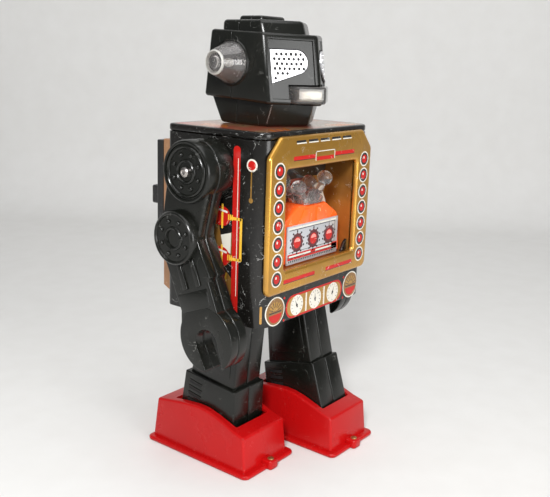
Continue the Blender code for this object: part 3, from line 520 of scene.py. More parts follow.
def make_frame():
    half = (arc((bezel_high.x - 5.0, bezel_low.z + 5.0), 5.0, 270, 360, 8)
            + arc((bezel_high.x - 5.0, 199.5), 5.0, 0, 44, 5)
            + arc((41.0, bezel_high.z - 4.0), 4.0, 44, 90, 5))
    plate = slab(both_sides(half), (bezel_low.y, bezel_high.y), 1)
    window = slab(bar(-WINDOW[0], WINDOW[0], WINDOW[1], WINDOW[2], 2.5), (-60, -30), 1)
    bm = cut_out(plate, window)
    bmesh.ops.dissolve_limit(bm, angle_limit=radians(1), verts=bm.verts, edges=bm.edges)
    front = [e for e in bm.edges if all(v.co.y < (bezel_low.y + 0.1) * MM for v in e.verts)
             and len(e.link_faces) == 2 and e.calc_face_angle() > radians(50)]
    bmesh.ops.bevel(bm, geom=front, offset=2.1 * MM, segments=5, profile=0.5,
                    affect="EDGES", material=-1, clamp_overlap=True)
    finished("chest_gilt_frame", bm, "torso", GILT, ["chest_bezel"])


def on_frame(points, level=1):
    """An ink layer on the front of the chest frame."""
    return slab(points, (bezel_low.y - INK * (level - 1), bezel_low.y - INK * level), 1)


def framed(name, ink, *layers):
    finished(name, gathered(*layers), "torso", ink)


def print_frame():
    lamps = [(side * 44.6, 194.0 - 10.58 * k) for side in (-1, 1) for k in range(7)]
    framed("frame_lamp_rings", WHITE_INK, *[on_frame(disc(p, 4.9)) for p in lamps])
    framed("frame_lamp_wells", BLACK_INK, *[on_frame(disc(p, 4.05), 2) for p in lamps])
    framed("frame_lamp_red", RED_INK, *[on_frame(disc(p, 2.7), 3) for p in lamps],
           *[on_frame(bar(u0, u1, z - 1.15, z + 1.15, 0.5)) for u0, u1, z in
             FRAME_BARS + ((-9.0, 9.0, 198.4),)])
    framed("frame_lamp_glints", WHITE_INK,
           *[on_frame(disc((u - 0.7, z + 0.9), 0.85, squeeze=0.7), 4) for u, z in lamps],
           *[on_frame(bar(u0, u1, z0, z1)) for u0, u1, z0, z1 in
             ((-10.2, -9.6, 197.2, 202.9), (9.6, 10.2, 197.2, 202.9), (-10.2, 10.2, 202.4, 202.9))],
           *[on_frame(bar(u, u + 9.6, 208.3, 209.0)) for u in FRAME_SLOTS])
    framed("frame_slots", BLACK_INK,
           *[on_frame(bar(u - 0.4, u + 8.8, 209.0, 210.3)) for u in FRAME_SLOTS],
           *[on_frame(bar(u0, u1, z - 1.5, z - 1.15)) for u0, u1, z in FRAME_BARS])


make_frame()
print_frame()

# ------------------------------------------------------------------ window recess
# The gilded tin tray behind the frame, in which the engine stands; its gilt is a darker copy of the
# frame's, painted shade of the recess.
# The imported tray keeps its shape; a black band and a dark red patch of painted shade, the red one also
# a painted glow, and a white card lie on its back wall, and its roof is black painted shade.
# the recess gilt is the frame's gilt painted darker: painted shade of the recess
RECESS_GILT_PAINTED_SHADE = surface("gilt_recess_painted_shade", (0.42, 0.19, 0.035), (0.20, 0.085, 0.015),
                 (0.6, 0.5, 0.35), 0.36, metallic=0.55, coat=0.3, cloud=0.8)
# dark red of painted shade with a painted red glow, on the recess back wall
DARK_RED_PAINTED_SHADE_GLOW = surface("dark_red_painted_shade_glow", (0.30, 0.035, 0.012), (0.12, 0.012, 0.006),
                   (0.5, 0.4, 0.3), 0.4)
tray_rear = box_of_node("window_box")[1].y
frame["nodes"]["window_box"].data.materials.clear()
frame["nodes"]["window_box"].data.materials.append(RECESS_GILT_PAINTED_SHADE)


def make_recess_print():
    back = tray_rear - SHEET
    # black band under the roof on the back wall: painted shade
    finished("recess_top_painted_shade", slab(bar(-37.4, 37.4, 182.0, 194.6), (back - 0.1, back - 0.05), 1),
             "torso", BLACK_INK)
    # dark red patch behind the engine block: painted shade with a painted red glow
    finished("recess_red_painted_glow", slab(bar(-30, 16, 158.0, 182.0), (back - 0.1, back - 0.05), 1),
             "torso", DARK_RED_PAINTED_SHADE_GLOW)
    card = arc((4.0, 156.0), 27.5, -10, 62, 14) + arc((2.0, 156.0), 25.0, 62, -10, 14)
    finished("recess_white_card", slab(card, (-26.0, -25.4), 1), "torso", WHITE_INK)
    # black sheet on the recess roof: painted shade
    roof = slab(bar(-37.4, 37.4, -39.6, -19.8), (194.5, 194.7), 2)
    finished("recess_roof_painted_shade", roof, "torso", BLACK_INK)
    notch = slab([(31.0, 133.4), (37.3, 133.4), (37.3, 141.0), (34.5, 139.0)], (-39.4, -37.6), 1,
                 0.3, 2)
    finished("recess_black_notch", notch, "torso", BLACK_INK)


make_recess_print()

# ------------------------------------------------------------------ engine block
# A translucent orange moulding with a painted glow, a faint emission as though lit from behind,
# with a printed tin plate on its front: three rosettes over a red band and a saw-toothed strip.
# the orange block carries a painted glow: a faint emission, though the block is no lamp
ORANGE = surface("orange_engine_plastic", (0.92, 0.125, 0.016), (0.72, 0.07, 0.010),
                 (1.0, 0.55, 0.3), 0.26, coat=0.4, grain=0.02, painted_glow=(1.0, 0.10, 0.010))
SILVER_TIN = surface("silver_litho_tin", (0.60, 0.61, 0.64), (0.45, 0.45, 0.46),
                     (0.2, 0.2, 0.2), 0.3, metallic=0.35, coat=0.5, scratch_width=0.003)
MAROON_INK = surface("maroon_litho_print", (0.10, 0.022, 0.026), (0.05, 0.012, 0.014),
                     (0.5, 0.4, 0.4), 0.3)
PINK_INK = surface("pink_litho_print", (0.80, 0.30, 0.26), (0.66, 0.14, 0.12),
                   (0.8, 0.8, 0.8), 0.28)
plate_low, plate_high = box_of_node("engine_plate")
block_front = box_of_node("engine_block")[0].y


def make_engine_block():
    shape = both_sides([(14.5, 168.4), (28.4, 160.0), (32.0, 134.2)])
    block = slab(shape, (block_front, -20.7), 1, 1.6, 3)
    hollow = slab(both_sides([(13.5, 166.4), (26.4, 159.0), (30.0, 136.0)]), (block_front + 2, 0),
                  1)
    finished("engine_orange_block", cut_out(block, hollow), "torso", ORANGE,
             ["engine_block"])
    ribs = [slab([(side * 4, 157.5), (side * 15.0, 157.5), (side * 9.0, 166.5), (side * 4, 166.5)],
                 (block_front - 0.9, block_front + 0.2), 1, 0.3, 2) for side in (-1, 1)]
    finished("engine_orange_panels", gathered(*ribs), "torso", ORANGE)


def on_plate(points, level=1):
    """An ink layer on the engine's tin plate."""
    return slab(points, (plate_low.y - INK * (level - 1), plate_low.y - INK * level), 1)


def plated(name, ink, *layers):
    finished(name, gathered(*layers), "torso", ink)


def scalloped(centre, radius, depth, lobes):
    return [(centre[0] + (radius + depth * cos(lobes * a)) * cos(a),
             centre[1] + (radius + depth * cos(lobes * a)) * sin(a))
            for a in [2 * pi * k / 96 for k in range(96)]]


def make_engine_plate():
    x, low, high = plate_high.x, plate_low.z, plate_high.z
    plate = slab(bar(-x, x, low, high), (plate_high.y, plate_low.y), 1, 0.4, 2)
    finished("engine_tin_plate", plate, "torso", SILVER_TIN,
             ["engine_plate"])
    roses = [(u, 147.2) for u in (-17.0, 0.0, 17.0)]
    plated("plate_rosettes", MAROON_INK, *[on_plate(scalloped(p, 5.9, 0.4, 12)) for p in roses])
    plated("plate_rosette_red", RED_INK, *[on_plate(disc(p, 3.6), 2) for p in roses],
           on_plate(bar(-x + 0.6, x - 0.6, 136.9, 140.6)), on_plate(bar(20.5, x - 0.6, 136.9, 141.4)))
    plated("plate_rosette_glow", PINK_INK, *[on_plate(disc(p, 2.9, 10, 170), 3) for p in roses])
    dots = [on_plate(disc((p[0] + 7.0 * cos(2 * pi * k / 10 + 0.3),
                           p[1] + 7.0 * sin(2 * pi * k / 10 + 0.3)), 0.7, steps=12))
            for p in roses for k in range(10)]
    lines = [on_plate(bar(-x + 2.0, x - 3.4, 155.2, 155.6)),
             on_plate(bar(x - 3.8, x - 3.4, 141.8, 155.6)),
             on_plate(bar(-x + 2.0, x - 3.4, 141.6, 141.9))]
    teeth = [on_plate([(-x + 1.5 + 1.9 * k, 136.6), (-x + 2.9 + 1.9 * k, 136.6),
                       (-x + 2.2 + 1.9 * k, 135.2)]) for k in range(26)]
    plated("plate_black_marks", BLACK_INK, *dots, *lines, *teeth,
           on_plate(bar(-x + 0.6, x - 3.0, 138.2, 138.6), 3))
    plated("plate_white_bars", WHITE_INK, on_plate(bar(-x + 2.0, -2.6, 138.6, 139.7), 3),
           on_plate(bar(2.6, 20.0, 138.6, 139.7), 3),
           on_plate(bar(-x + 1.2, x - 2.4, 155.9, 156.9)))


make_engine_block()
make_engine_plate()

# ------------------------------------------------------------------ clear engine parts
# The pistons, their guide and the ribbed crankcase are clear polystyrene. The pistons
# are turned, with a rimmed crown, and each rides on its own slide.


def clear_plastic(name, colour, roughness, share):
    """Clear moulding; the tint and the wear of its surface change over it."""
    made = bpy.data.materials.new(name)
    made.use_nodes = True
    tree = made.node_tree
    shader = tree.nodes["Principled BSDF"]
    group = tree.nodes.new("ShaderNodeGroup")
    group.node_tree = marks
    for socket, value in (("Scratch Width", 0.01), ("Scratch Scale", 110.0),
                          ("Cloud Scale", 80.0), ("Speck Scale", 1200.0)):
        group.inputs[socket].default_value = value
    dim = tuple(0.82 * channel for channel in colour)
    tree.links.new(mixed(tree, group.outputs["Clouds"], colour, dim), shader.inputs["Base Color"])
    rough = math_node(tree, "MULTIPLY", group.outputs["Scratches"], 0.3)
    soft = math_node(tree, "MULTIPLY", group.outputs["Clouds"], 0.08)
    tree.links.new(math_node(tree, "ADD", math_node(tree, "ADD", rough, soft), roughness),
                   shader.inputs["Roughness"])
    shader.inputs["Transmission Weight"].default_value = share
    shader.inputs["IOR"].default_value = 1.49
    return made


CLEAR = clear_plastic("clear_polystyrene", (0.95, 0.92, 0.90), 0.025, 0.94)
FROSTED = clear_plastic("frosted_polystyrene", (0.80, 0.79, 0.74), 0.30, 0.45)


def turned(profile, centre, along, sides=48):
    """A profile of (radius, distance) pairs spun about the line from centre along a direction."""
    along = Vector(along).normalized()
    out = along.orthogonal().normalized()
    bm = bmesh.new()
    verts = [bm.verts.new((Vector(centre) + along * run + out * radius) * MM)
             for radius, run in profile]
    edges = [bm.edges.new(pair) for pair in zip(verts, verts[1:])]
    bmesh.ops.spin(bm, geom=verts + edges, cent=Vector(centre) * MM, axis=along,
                   angle=2 * pi, steps=sides, use_merge=True)
    bmesh.ops.remove_doubles(bm, verts=bm.verts, dist=0.000002)
    bmesh.ops.recalc_face_normals(bm, faces=bm.faces)
    return bm


CRANKCASE_Z = 165.0                   # where the two banks of pistons meet
PISTON_ANGLE = radians(40.0)
PISTON_TRAVEL = 5.0


def piston_rise(side):
    return Vector((side * sin(PISTON_ANGLE), 0, cos(PISTON_ANGLE)))


def make_pistons():
    for side, word in SIDES:
        for row in ("front", "rear"):
            node = f"piston_{word}_{row}"
            low, high = box_of_node(node)
            rise = piston_rise(side)
            foot = Vector((0, (low.y + high.y) / 2, CRANKCASE_Z))
            drop = 0.0 if (side > 0) == (row == "front") else PISTON_TRAVEL
            profile = [(0, 12.6), (2.2, 12.6), (2.5, 13.0), (2.5, 20.0), (3.6, 20.8), (4.4, 21.6),
                       (4.9, 22.8), (5.0, 24.0), (4.8, 25.4), (4.2, 26.6), (3.4, 27.4),
                       (2.6, 27.6), (2.3, 26.9), (0, 26.7)]
            piston = turned([(r, run - drop) for r, run in profile], foot, rise)
            finished(f"clear_{node}", piston, f"{word}_{row}_piston", CLEAR,
                     [node])


def make_guide():
    low, high = box_of_node("piston_guide")
    cutters = []
    for side, _ in SIDES:
        for y in (-34.65, -24.85):
            rise = piston_rise(side)
            cutters.append(turned([(0, 3), (2.8, 3), (2.8, 21), (0, 21)], (0, y, CRANKCASE_Z), rise, 24))
    case = slab(both_sides([(4.5, 177.6), (9.8, 172.2), (8.0, 168.9)]), (low.y, high.y), 1,
                0.7, 3)
    finished("clear_piston_guide", cut_out(case, *cutters), "torso", CLEAR,
             ["piston_guide"])
    fins = [slab(both_sides([(5.3, 178.2), (10.6, 172.4), (8.6, 168.9)]), (y, y + 0.8), 1, 0.2, 2)
            for y in (-30.2, -21.2)]
    finished("clear_guide_fins", gathered(*fins), "torso", CLEAR)


make_pistons()
make_guide()

# ------------------------------------------------------------------ charcoal mouldings
# Head, arms and legs are moulded in dark polystyrene with a faint pearl in it. Each is
# in two halves that meet in a fine seam, and all edges are rounded as the mould left them.
CHARCOAL = surface("charcoal_polystyrene", (0.0055, 0.0060, 0.0045), (0.0100, 0.0100, 0.0080),
                   (0.13, 0.13, 0.12), 0.23, grain=0.05, scratch_width=0.0022, cloud=0.5,
                   scratch_scale=55.0, shine=0.42)
# near-black, matte sheets laid where slots, grooves and hollows are: painted shade of the openings
HOLLOW_PAINTED_SHADE = surface("hollow_painted_shade", (0.004, 0.004, 0.004), (0.006, 0.006, 0.006),
                      (0.02, 0.02, 0.02), 0.7)
STEEL = surface("zinc_plated_steel", (0.42, 0.39, 0.37), (0.28, 0.24, 0.21),
                (0.75, 0.74, 0.72), 0.36, metallic=1.0, scratch_width=0.01)
SHOULDER = joint_at["right_arm_swing"]
HIP = joint_at["right_leg_swing"]
ANKLES = {"right": joint_at["right_ankle"], "left": joint_at["left_ankle"]}
LEG_TILT = {word: atan2(ANKLES[word].y - HIP.y, HIP.z - ANKLES[word].z) for _, word in SIDES}
ELBOW = (7.8, -39.5)
FOREARM = radians(22.0)


def hung(bm, pivot, tilt):
    """Turns a mesh drawn about the origin by tilt about X, and hangs it on a pivot."""
    bmesh.ops.rotate(bm, cent=(0, 0, 0), matrix=Matrix.Rotation(tilt, 3, "X"), verts=bm.verts)
    bmesh.ops.translate(bm, vec=Vector((0, pivot.y, pivot.z)) * MM, verts=bm.verts)
    return bm


def along_arm(along, across):
    """A point of the forearm from the elbow; across is forward."""
    return (ELBOW[0] - along * sin(FOREARM) - across * cos(FOREARM),
            ELBOW[1] - along * cos(FOREARM) + across * sin(FOREARM))


def upper_arm():
    heading = degrees(atan2(ELBOW[1], ELBOW[0]))
    return (arc((0, 0), 16.8, heading + 92, heading + 268, 28)
            + arc(ELBOW, 15.0, heading - 92, heading + 92, 28))


def claw():
    centre = along_arm(62.0, 0)
    down = 270.0 - degrees(FOREARM)
    return (arc(centre, 20.4, down + 24, down + 336, 48) + [along_arm(80.0, 7.0)]
            + arc(along_arm(64.5, 0), 8.6, down + 292, down + 68, 24) + [along_arm(80.0, -7.0)])


def pips(side, centre, radius, x):
    """Eight moulded beads in a ring, each a shallow dome."""
    beads = []
    for k in range(8):
        a = radians(22.5 + 45 * k)
        place = (side * x, centre[0] + radius * cos(a), centre[1] + radius * sin(a))
        beads.append(turned([(0, 1.5), (0.6, 1.36), (1.1, 0.95), (1.45, 0.3), (1.5, -0.4),
                             (0, -0.4)], place, (side, 0, 0), 16))
    return beads


def make_arm(side, word):
    tilt = 0.0 if side < 0 else LEG_TILT["right"]      # the left arm is forward at rest
    palm = [along_arm(*p) for p in ((0, -15.3), (42, -13.2), (56, -18.6), (52, 0), (50, 14.8),
                                    (29.5, 14.4), (27.5, 16.6), (0, 15.0))]
    seam_out, seam_in = side * 69.12, side * 68.88
    drum = [(18.3, 0), (18.3, 6.9), (17.7, 8.1), (16.9, 8.5), (16.0, 8.3), (15.6, 7.6), (15.1, 7.6),
            (14.7, 8.6), (14.0, 9.1), (13.3, 8.6), (12.9, 7.7), (7.4, 7.7), (7.0, 8.6), (6.3, 9.1),
            (5.6, 8.6), (5.2, 7.7), (0, 7.7)]
    elbow = [(16.2, 0), (16.2, 9.0), (15.6, 10.3), (14.8, 10.9), (14.0, 10.7), (13.5, 9.8),
             (7.2, 9.8), (6.8, 10.6), (6.1, 11.0), (5.4, 10.6), (5.1, 9.5), (0, 9.5)]
    outer = [slab(upper_arm(), (seam_out, side * 74.6), 0, 1.4, 4),
             slab(palm, (seam_out, side * 76.0), 0, 1.0, 3),
             slab(claw(), (seam_out, side * 76.1), 0, 1.2, 4),
             turned([(0, 0)] + drum, (seam_out, 0, 0), (side, 0, 0), 96),
             turned([(0, 0)] + elbow, (seam_out, *ELBOW), (side, 0, 0), 96)]
    outer += pips(side, (0, 0), 10.1, 76.8) + pips(side, ELBOW, 10.3, 78.9)
    for across in (-4.0, 7.0):
        ridge = [along_arm(*p) for p in ((15, across - 1.8), (31, across - 1.8),
                                         (31, across + 1.8), (15, across + 1.8))]
        outer.append(slab(ridge, (side * 75.0, side * 77.4), 0, 0.9, 3))
    brow = [along_arm(*p) for p in ((33.0, -12.5), (44.0, -11.5), (44.0, 11.5), (33.0, 12.5))]
    outer.append(slab(brow, (side * 75.0, side * 76.5), 0, 0.5, 2))
    inner = [slab(upper_arm(), (seam_in, side * 61.0), 0, 1.4, 3),
             slab(arc((0, 0), 18.3, 0, 356, 72), (seam_in, side * 55.9), 0, 1.0, 3, 60),
             slab(arc(ELBOW, 16.2, 0, 356, 72), (seam_in, side * 60.6), 0, 1.0, 3, 60),
             slab(palm, (seam_in, side * 60.6), 0, 1.0, 3),
             slab(claw(), (seam_in, side * 61.6), 0, 1.2, 4)]
    body = word + "_arm"
    for half, parts in (("outer", outer), ("inner", inner)):
        finished(f"charcoal_arm_{word}_{half}", hung(gathered(*parts), SHOULDER, tilt), body,
                 CHARCOAL, [f"arm_{word}_{half}"])
    rivet = [(0, -1.2), (2.9, -1.2), (2.9, 0.35), (2.4, 0.9), (1.5, 1.35), (1.3, 1.0), (0.8, 0.8),
             (0, 0.8)]
    finished(f"steel_rivet_{word}", hung(turned(rivet, (side * 78.0, 0, 0), (side, 0, 0), 32),
                                         SHOULDER, tilt), body, STEEL,
             [f"shoulder_rivet_{word}"])


for side, word in SIDES:
    make_arm(side, word)

# ------------------------------------------------------------------ legs
# Two moulded halves on the hip shaft: a column with a round top, and a boot with moulded
# louvres that dips into the shoe.


LOUVRE_TOPS = (-59.0, -63.4, -67.8, -72.2)


def make_leg(side, word):
    column = arc((0, 0), 13.0, 0, 180, 24) + [(-15.5, -8.0), (-19.2, -58.0), (18.8, -60.0),
                                              (15.0, -8.0)]
    boot = [(-21.0, -51.2), (-26.0, -86.5), (21.6, -86.5), (21.6, -54.2)]
    for half, seam, reach in (("outer", 30.12, 1), ("inner", 29.88, -1)):
        parts = [slab(column, (side * seam, side * (30 + 13.0 * reach)), 0, 0.9, 3),
                 slab(boot, (side * seam, side * (30 + 14.8 * reach)), 0, 0.9, 3),
                 slab([(-11.5, -12), (-14.2, -45), (13.8, -46.5), (11.0, -12)],
                      (side * 30.2, side * (30 + 13.4 * reach)), 0, 0.35, 2)]
        name = f"leg_{word}_{half}"
        if half == "inner":
            prongs = [slab([(sign * 2.0, 8.0), (sign * 4.6, 8.0), (sign * 4.6, 22.5),
                            (sign * 2.0, 22.5)], (side * 20.4, side * 22.4), 0, 0.3, 2)
                      for sign in (-1, 1)]
            parts += prongs
        finished(f"charcoal_{name}", hung(gathered(*parts), HIP, LEG_TILT[word]), word + "_leg",
                 CHARCOAL, [name])
        face = side * (30 + 14.8 * reach)
        # the slots between the louvre lips are near-black slabs: painted shade of the openings
        slots = [slab([(6.0, z), (16.5, z - 0.2), (16.5, z - 2.2), (6.0, z - 2.0)],
                      (face - side * reach * 0.4, face + side * reach * 0.06), 0)
                 for z in LOUVRE_TOPS]
        finished(f"louvres_{word}_{half}", hung(gathered(*slots), HIP, LEG_TILT[word]),
                 word + "_leg", HOLLOW_PAINTED_SHADE)
        lips = [slab([(5.6, z + 0.7), (16.9, z + 0.5), (16.9, z - 0.1), (5.6, z + 0.1)],
                     (face - side * reach * 0.3, face + side * reach * 0.5), 0, 0.2, 2)
                for z in LOUVRE_TOPS]
        finished(f"louvre_lips_{word}_{half}", hung(gathered(*lips), HIP, LEG_TILT[word]),
                 word + "_leg", CHARCOAL)


for side, word in SIDES:
    make_leg(side, word)

# ------------------------------------------------------------------ shoes
# Glossy red mouldings, hollow, with a rolled rim that stands on the floor and a lug at
# the toe for the screw that holds the steel sole plate.
RED = surface("red_polystyrene", (0.46, 0.0040, 0.0045), (0.36, 0.003, 0.0035),
              (0.60, 0.09, 0.08), 0.27, shine=0.3, grain=0.05, scratch_width=0.002, cloud=0.4,
              scratch_scale=45.0)
BRASS = surface("old_brass", (0.42, 0.24, 0.10), (0.20, 0.11, 0.05), (0.7, 0.5, 0.25), 0.42,
                metallic=0.85, cloud=1.0)


def make_shoe(side, word):
    low, high = box_of_node("shoe_" + word)
    y, x = ANKLES[word].y, side * 30.0
    profile = ([(y - 39.8, 1.0), (y - 37.6, 25.4), (y - 29.5, 27.4), (y - 22.0, 30.0),
                (y - 13.0, 33.0), (y - 4.5, 34.9), (y + 3.0, 35.2), (y + 16.0, 33.9),
                (y + 38.4, 30.4), (y + 41.8, 1.0)])
    upper = slab(profile, (x - 21.6, x + 21.6), 0)
    for v in upper.verts:
        v.co.x = (x + (v.co.x / MM - x) * (1.0 - 0.0016 * v.co.z / MM)) * MM
    round_edges(upper, 1.5, 4)
    rim_plan = bar(x - 25.2, x + 25.2, y - 44.1, y + 44.3, 4.2)
    rim = slab(rim_plan, (0.0, 3.0), 2, 1.35, 4, 60)
    lug = slab(bar(x - 4.2, x + 4.2, low.y + 0.2, y - 38.5, 2.0), (0.2, 6.2), 2, 1.0, 3, 60)
    inside = [(y - 37.4, -3.0), (y - 35.4, 23.4), (y - 22.0, 28.0), (y - 4.5, 32.7),
              (y + 16.0, 31.4), (y + 36.6, 28.0), (y + 39.4, -3.0)]
    hollow = slab(inside, (x - 19.3, x + 19.3), 0)
    mouth = slab(bar(x - 15.7, x + 15.7, y - 27.7, y + 26.4, 1.2), (20.0, 45.0), 2)
    finished(f"red_shoe_{word}", cut_out(gathered(upper, rim, lug), hollow, mouth),
             word + "_foot", RED, ["shoe_" + word], sharp=32)
    screw = turned([(0, 0.9), (1.2, 0.85), (2.0, 0.5), (2.2, 0.0), (2.2, -1.0), (0, -1.0)],
                   (x, low.y + 3.8, 6.2), (0, 0, 1), 24)
    slot = slab(bar(x - 2.4, x + 2.4, low.y + 3.5, low.y + 4.1), (6.7, 7.4), 2)
    finished(f"toe_screw_{word}", cut_out(screw, slot), word + "_foot", BRASS)


for side, word in SIDES:
    make_shoe(side, word)

# ------------------------------------------------------------------ head
# Front and rear halves meet in a seam through the ears. Four rounded blocks make it, and
# the face is a prow: two recessed panels that meet in an upright ridge.
REFLECTOR = surface("silvered_reflector", (0.30, 0.29, 0.25), (0.16, 0.13, 0.10),
                    (0.8, 0.8, 0.78), 0.16, metallic=0.95, grain=0.3, cloud=0.8)
SEAM_Y = (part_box("head_front_shell")[1].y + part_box("head_rear_shell")[0].y) / 2 / MM
SHIFT = HIP.y                          # the head is drawn from the shafts
RIDGE, CORNER, HEAD_HALF, FACE_SLOPE = -35.3, -17.6, 30.0, 0.135


def plane_of(a, b, c, outward):
    a, b, c = Vector(a), Vector(b), Vector(c)
    normal = (b - a).cross(c - a).normalized()
    return a, normal if normal.dot(Vector(outward)) > 0 else -normal


def prow(ridge_y, corner, at_z, slope):
    return [plane_of((0, ridge_y, at_z), (0, ridge_y - slope * 10, at_z - 10),
                     (side * corner[0], corner[1], at_z), (side, -2, 0)) for side in (-1, 1)]


def level(y0, z0, y1, z1, outward):
    return plane_of((-1, y0, z0), (1, y0, z0), (0, y1, z1), outward)


def carved(xs, ys, zs, planes):
    """A block cut by planes, drawn from the shafts and set over the body."""
    bm = bmesh.new()
    bmesh.ops.create_cube(bm, size=1.0)
    for v in bm.verts:
        v.co = Vector([(hi + lo) / 2 + c * (hi - lo) for c, (lo, hi) in zip(v.co, (xs, ys, zs))])
    for point, normal in planes:
        done = bmesh.ops.bisect_plane(bm, geom=every_part(bm),
                                      plane_co=point, plane_no=normal, clear_outer=True)
        rim = [e for e in done["geom_cut"] if isinstance(e, bmesh.types.BMEdge)]
        if rim:
            bmesh.ops.edgeloop_fill(bm, edges=rim)
    bmesh.ops.translate(bm, vec=(0, SHIFT, 0), verts=bm.verts)
    bmesh.ops.scale(bm, vec=(MM, MM, MM), verts=bm.verts)
    bmesh.ops.recalc_face_normals(bm, faces=bm.faces)
    return bm


def head_blocks():
    skull = carved((-HEAD_HALF, HEAD_HALF), (-60, 50), (215, 290),
                   prow(RIDGE, (HEAD_HALF, CORNER), 250, FACE_SLOPE)
                   + [level(25.6, 272, 30.6, 232, (0, 1, 0)), level(-16, 270.3, 25, 272, (0, 0, 1)),
                      level(-20, 229.4, 30, 232, (0, 0, -1))])
    round_edges(skull, 2.0, 4, 30)
    panels = [f for f in skull.faces if f.normal.y < -0.7 and f.calc_area() > 0.0004]
    bmesh.ops.inset_individual(skull, faces=panels, thickness=1.3 * MM, depth=0.0,
                               use_even_offset=True)
    bmesh.ops.inset_individual(skull, faces=panels, thickness=0.35 * MM, depth=-0.8 * MM,
                               use_even_offset=True)
    crown = carved((-23.5, 23.5), (-50, 40), (262, 277.8),
                   prow(-22.5, (23.5, -8.8), 274, 0.3) + [level(22.0, 278, 22.6, 262, (0, 1, 0))])
    round_edges(crown, 2.4, 5, 30)
    top = carved((-12, 12), (0.5, 19.0), (270, 280.7), [])
    round_edges(top, 2.2, 5)
    neck = carved((-24, 24), (-50, 40), (cap_high.z + 0.3, 240),
                  prow(-31.5, (24.0, -18.0), 228, -0.3) + [level(29.4, 231, 22.3, 217, (0, 1, 0))])
    round_edges(neck, 2.0, 4, 30)
    return skull, crown, top, neck


def wedge(half, front, rear, zs, edge=0.0):
    reach = (CORNER - RIDGE) / HEAD_HALF * half
    points = [(-half, front + reach + SHIFT), (0, front + SHIFT), (half, front + reach + SHIFT),
              (half, rear), (-half, rear)]
    return slab(points, zs, 2, edge, 4, 20)


def lies_at(face, y):
    """Whether a face lies in the plane at y."""
    return abs(face.calc_center_median().y - y) < 0.01 * MM


def make_head():
    chin = RIDGE + FACE_SLOPE * (235 - 250)
    for half, sign in (("front", -1), ("rear", 1)):
        blocks = head_blocks()
        for bm in blocks:
            cut_y = (SEAM_Y + sign * 0.12) * MM
            done = bmesh.ops.bisect_plane(bm, geom=every_part(bm),
                                          plane_co=(0, cut_y, 0), plane_no=(0, -sign, 0),
                                          clear_outer=True)
            rim = [e for e in done["geom_cut"] if isinstance(e, bmesh.types.BMEdge)]
            bmesh.ops.edgeloop_fill(bm, edges=rim)
            bmesh.ops.recalc_face_normals(bm, faces=bm.faces)
            lips = [e for f in bm.faces if abs(f.normal.y) > 0.999 and lies_at(f, cut_y)
                    for e in f.edges]
            bmesh.ops.bevel(bm, geom=lips, offset=0.55 * MM, segments=3, profile=0.5,
                            affect="EDGES", clamp_overlap=True)
        bm = gathered(*blocks)
        if half == "front":
            bm = cut_out(bm, wedge(17.4, chin - 9, -18.0, (229.0, 240.9)))
        finished(f"charcoal_head_{half}", bm, "torso", CHARCOAL,
                 [f"head_{half}_shell"])
    lens = wedge(15.8, chin - 3.2, -22.7, (229.7, 240.0), 1.4)
    finished("clear_mouth_lens", lens, "torso", CLEAR, ["mouth_lens"])
    core = wedge(13.4, chin - 0.9, -24.0, (231.0, 238.4), 1.2)
    finished("mouth_reflector", core, "torso", REFLECTOR)


def make_ear(side, word):
    place = (0, SHIFT + 8.7, 252.5)
    cone = [(0, 45.4), (2.4, 45.5), (3.2, 45.1), (3.7, 44.0), (5.2, 43.8), (5.8, 45.2), (6.5, 45.6),
            (7.1, 44.9), (11.6, 33.4), (12.5, 31.4), (12.6, 30.3), (11.6, 30.2), (10.4, 33.0),
            (6.2, 42.6), (0, 42.6)]
    finished(f"clear_ear_{word}", turned(cone, place, (side, 0, 0), 96), "torso", CLEAR,
             [f"ear_lens_{word}"])
    rim = [(5.4, 43.9), (6.4, 45.75), (7.25, 44.9), (6.6, 43.6)]
    finished(f"ear_tip_ring_{word}", turned(rim + rim[:1], place, (side, 0, 0), 64), "torso",
             FROSTED)
    collar = [(0, 29.6), (13.4, 29.6), (13.9, 30.2), (13.4, 30.9), (12.9, 30.4), (0, 30.25)]
    finished(f"ear_collar_{word}", turned(collar, place, (side, 0, 0), 72), "torso", CHARCOAL)
    bulb = [(0, 38.6), (1.4, 38.2), (2.2, 36.8), (2.2, 34.5), (1.7, 33.0), (2.6, 32.6), (2.6, 30.2),
            (0, 30.2)]
    finished(f"ear_bulb_{word}", turned(bulb, place, (side, 0, 0), 32), "torso", FROSTED)


make_head()
for side, word in SIDES:
    make_ear(side, word)

# ------------------------------------------------------------------ eyes
# Bright tin plates pierced with staggered rows of holes, over a near-black sheet of painted shade for
# the recess behind them. Each is straight at the head's corner and round towards the ridge.
EYE_TIN = surface("bright_eye_tin", (0.80, 0.80, 0.83), (0.60, 0.60, 0.60), (0.4, 0.4, 0.4),
                  0.26, metallic=0.55, coat=0.3, scratch_width=0.003)


def on_face(side, across, z, out=0.0):
    """A point of the face; across runs from the ridge to the corner, out is off the surface."""
    run = Vector((HEAD_HALF, CORNER - RIDGE, 0)).normalized()
    y = RIDGE + FACE_SLOPE * (z - 250) + across * run.y - out * run.x + SHIFT
    return Vector((side * (across * run.x + out * run.y), y, z))


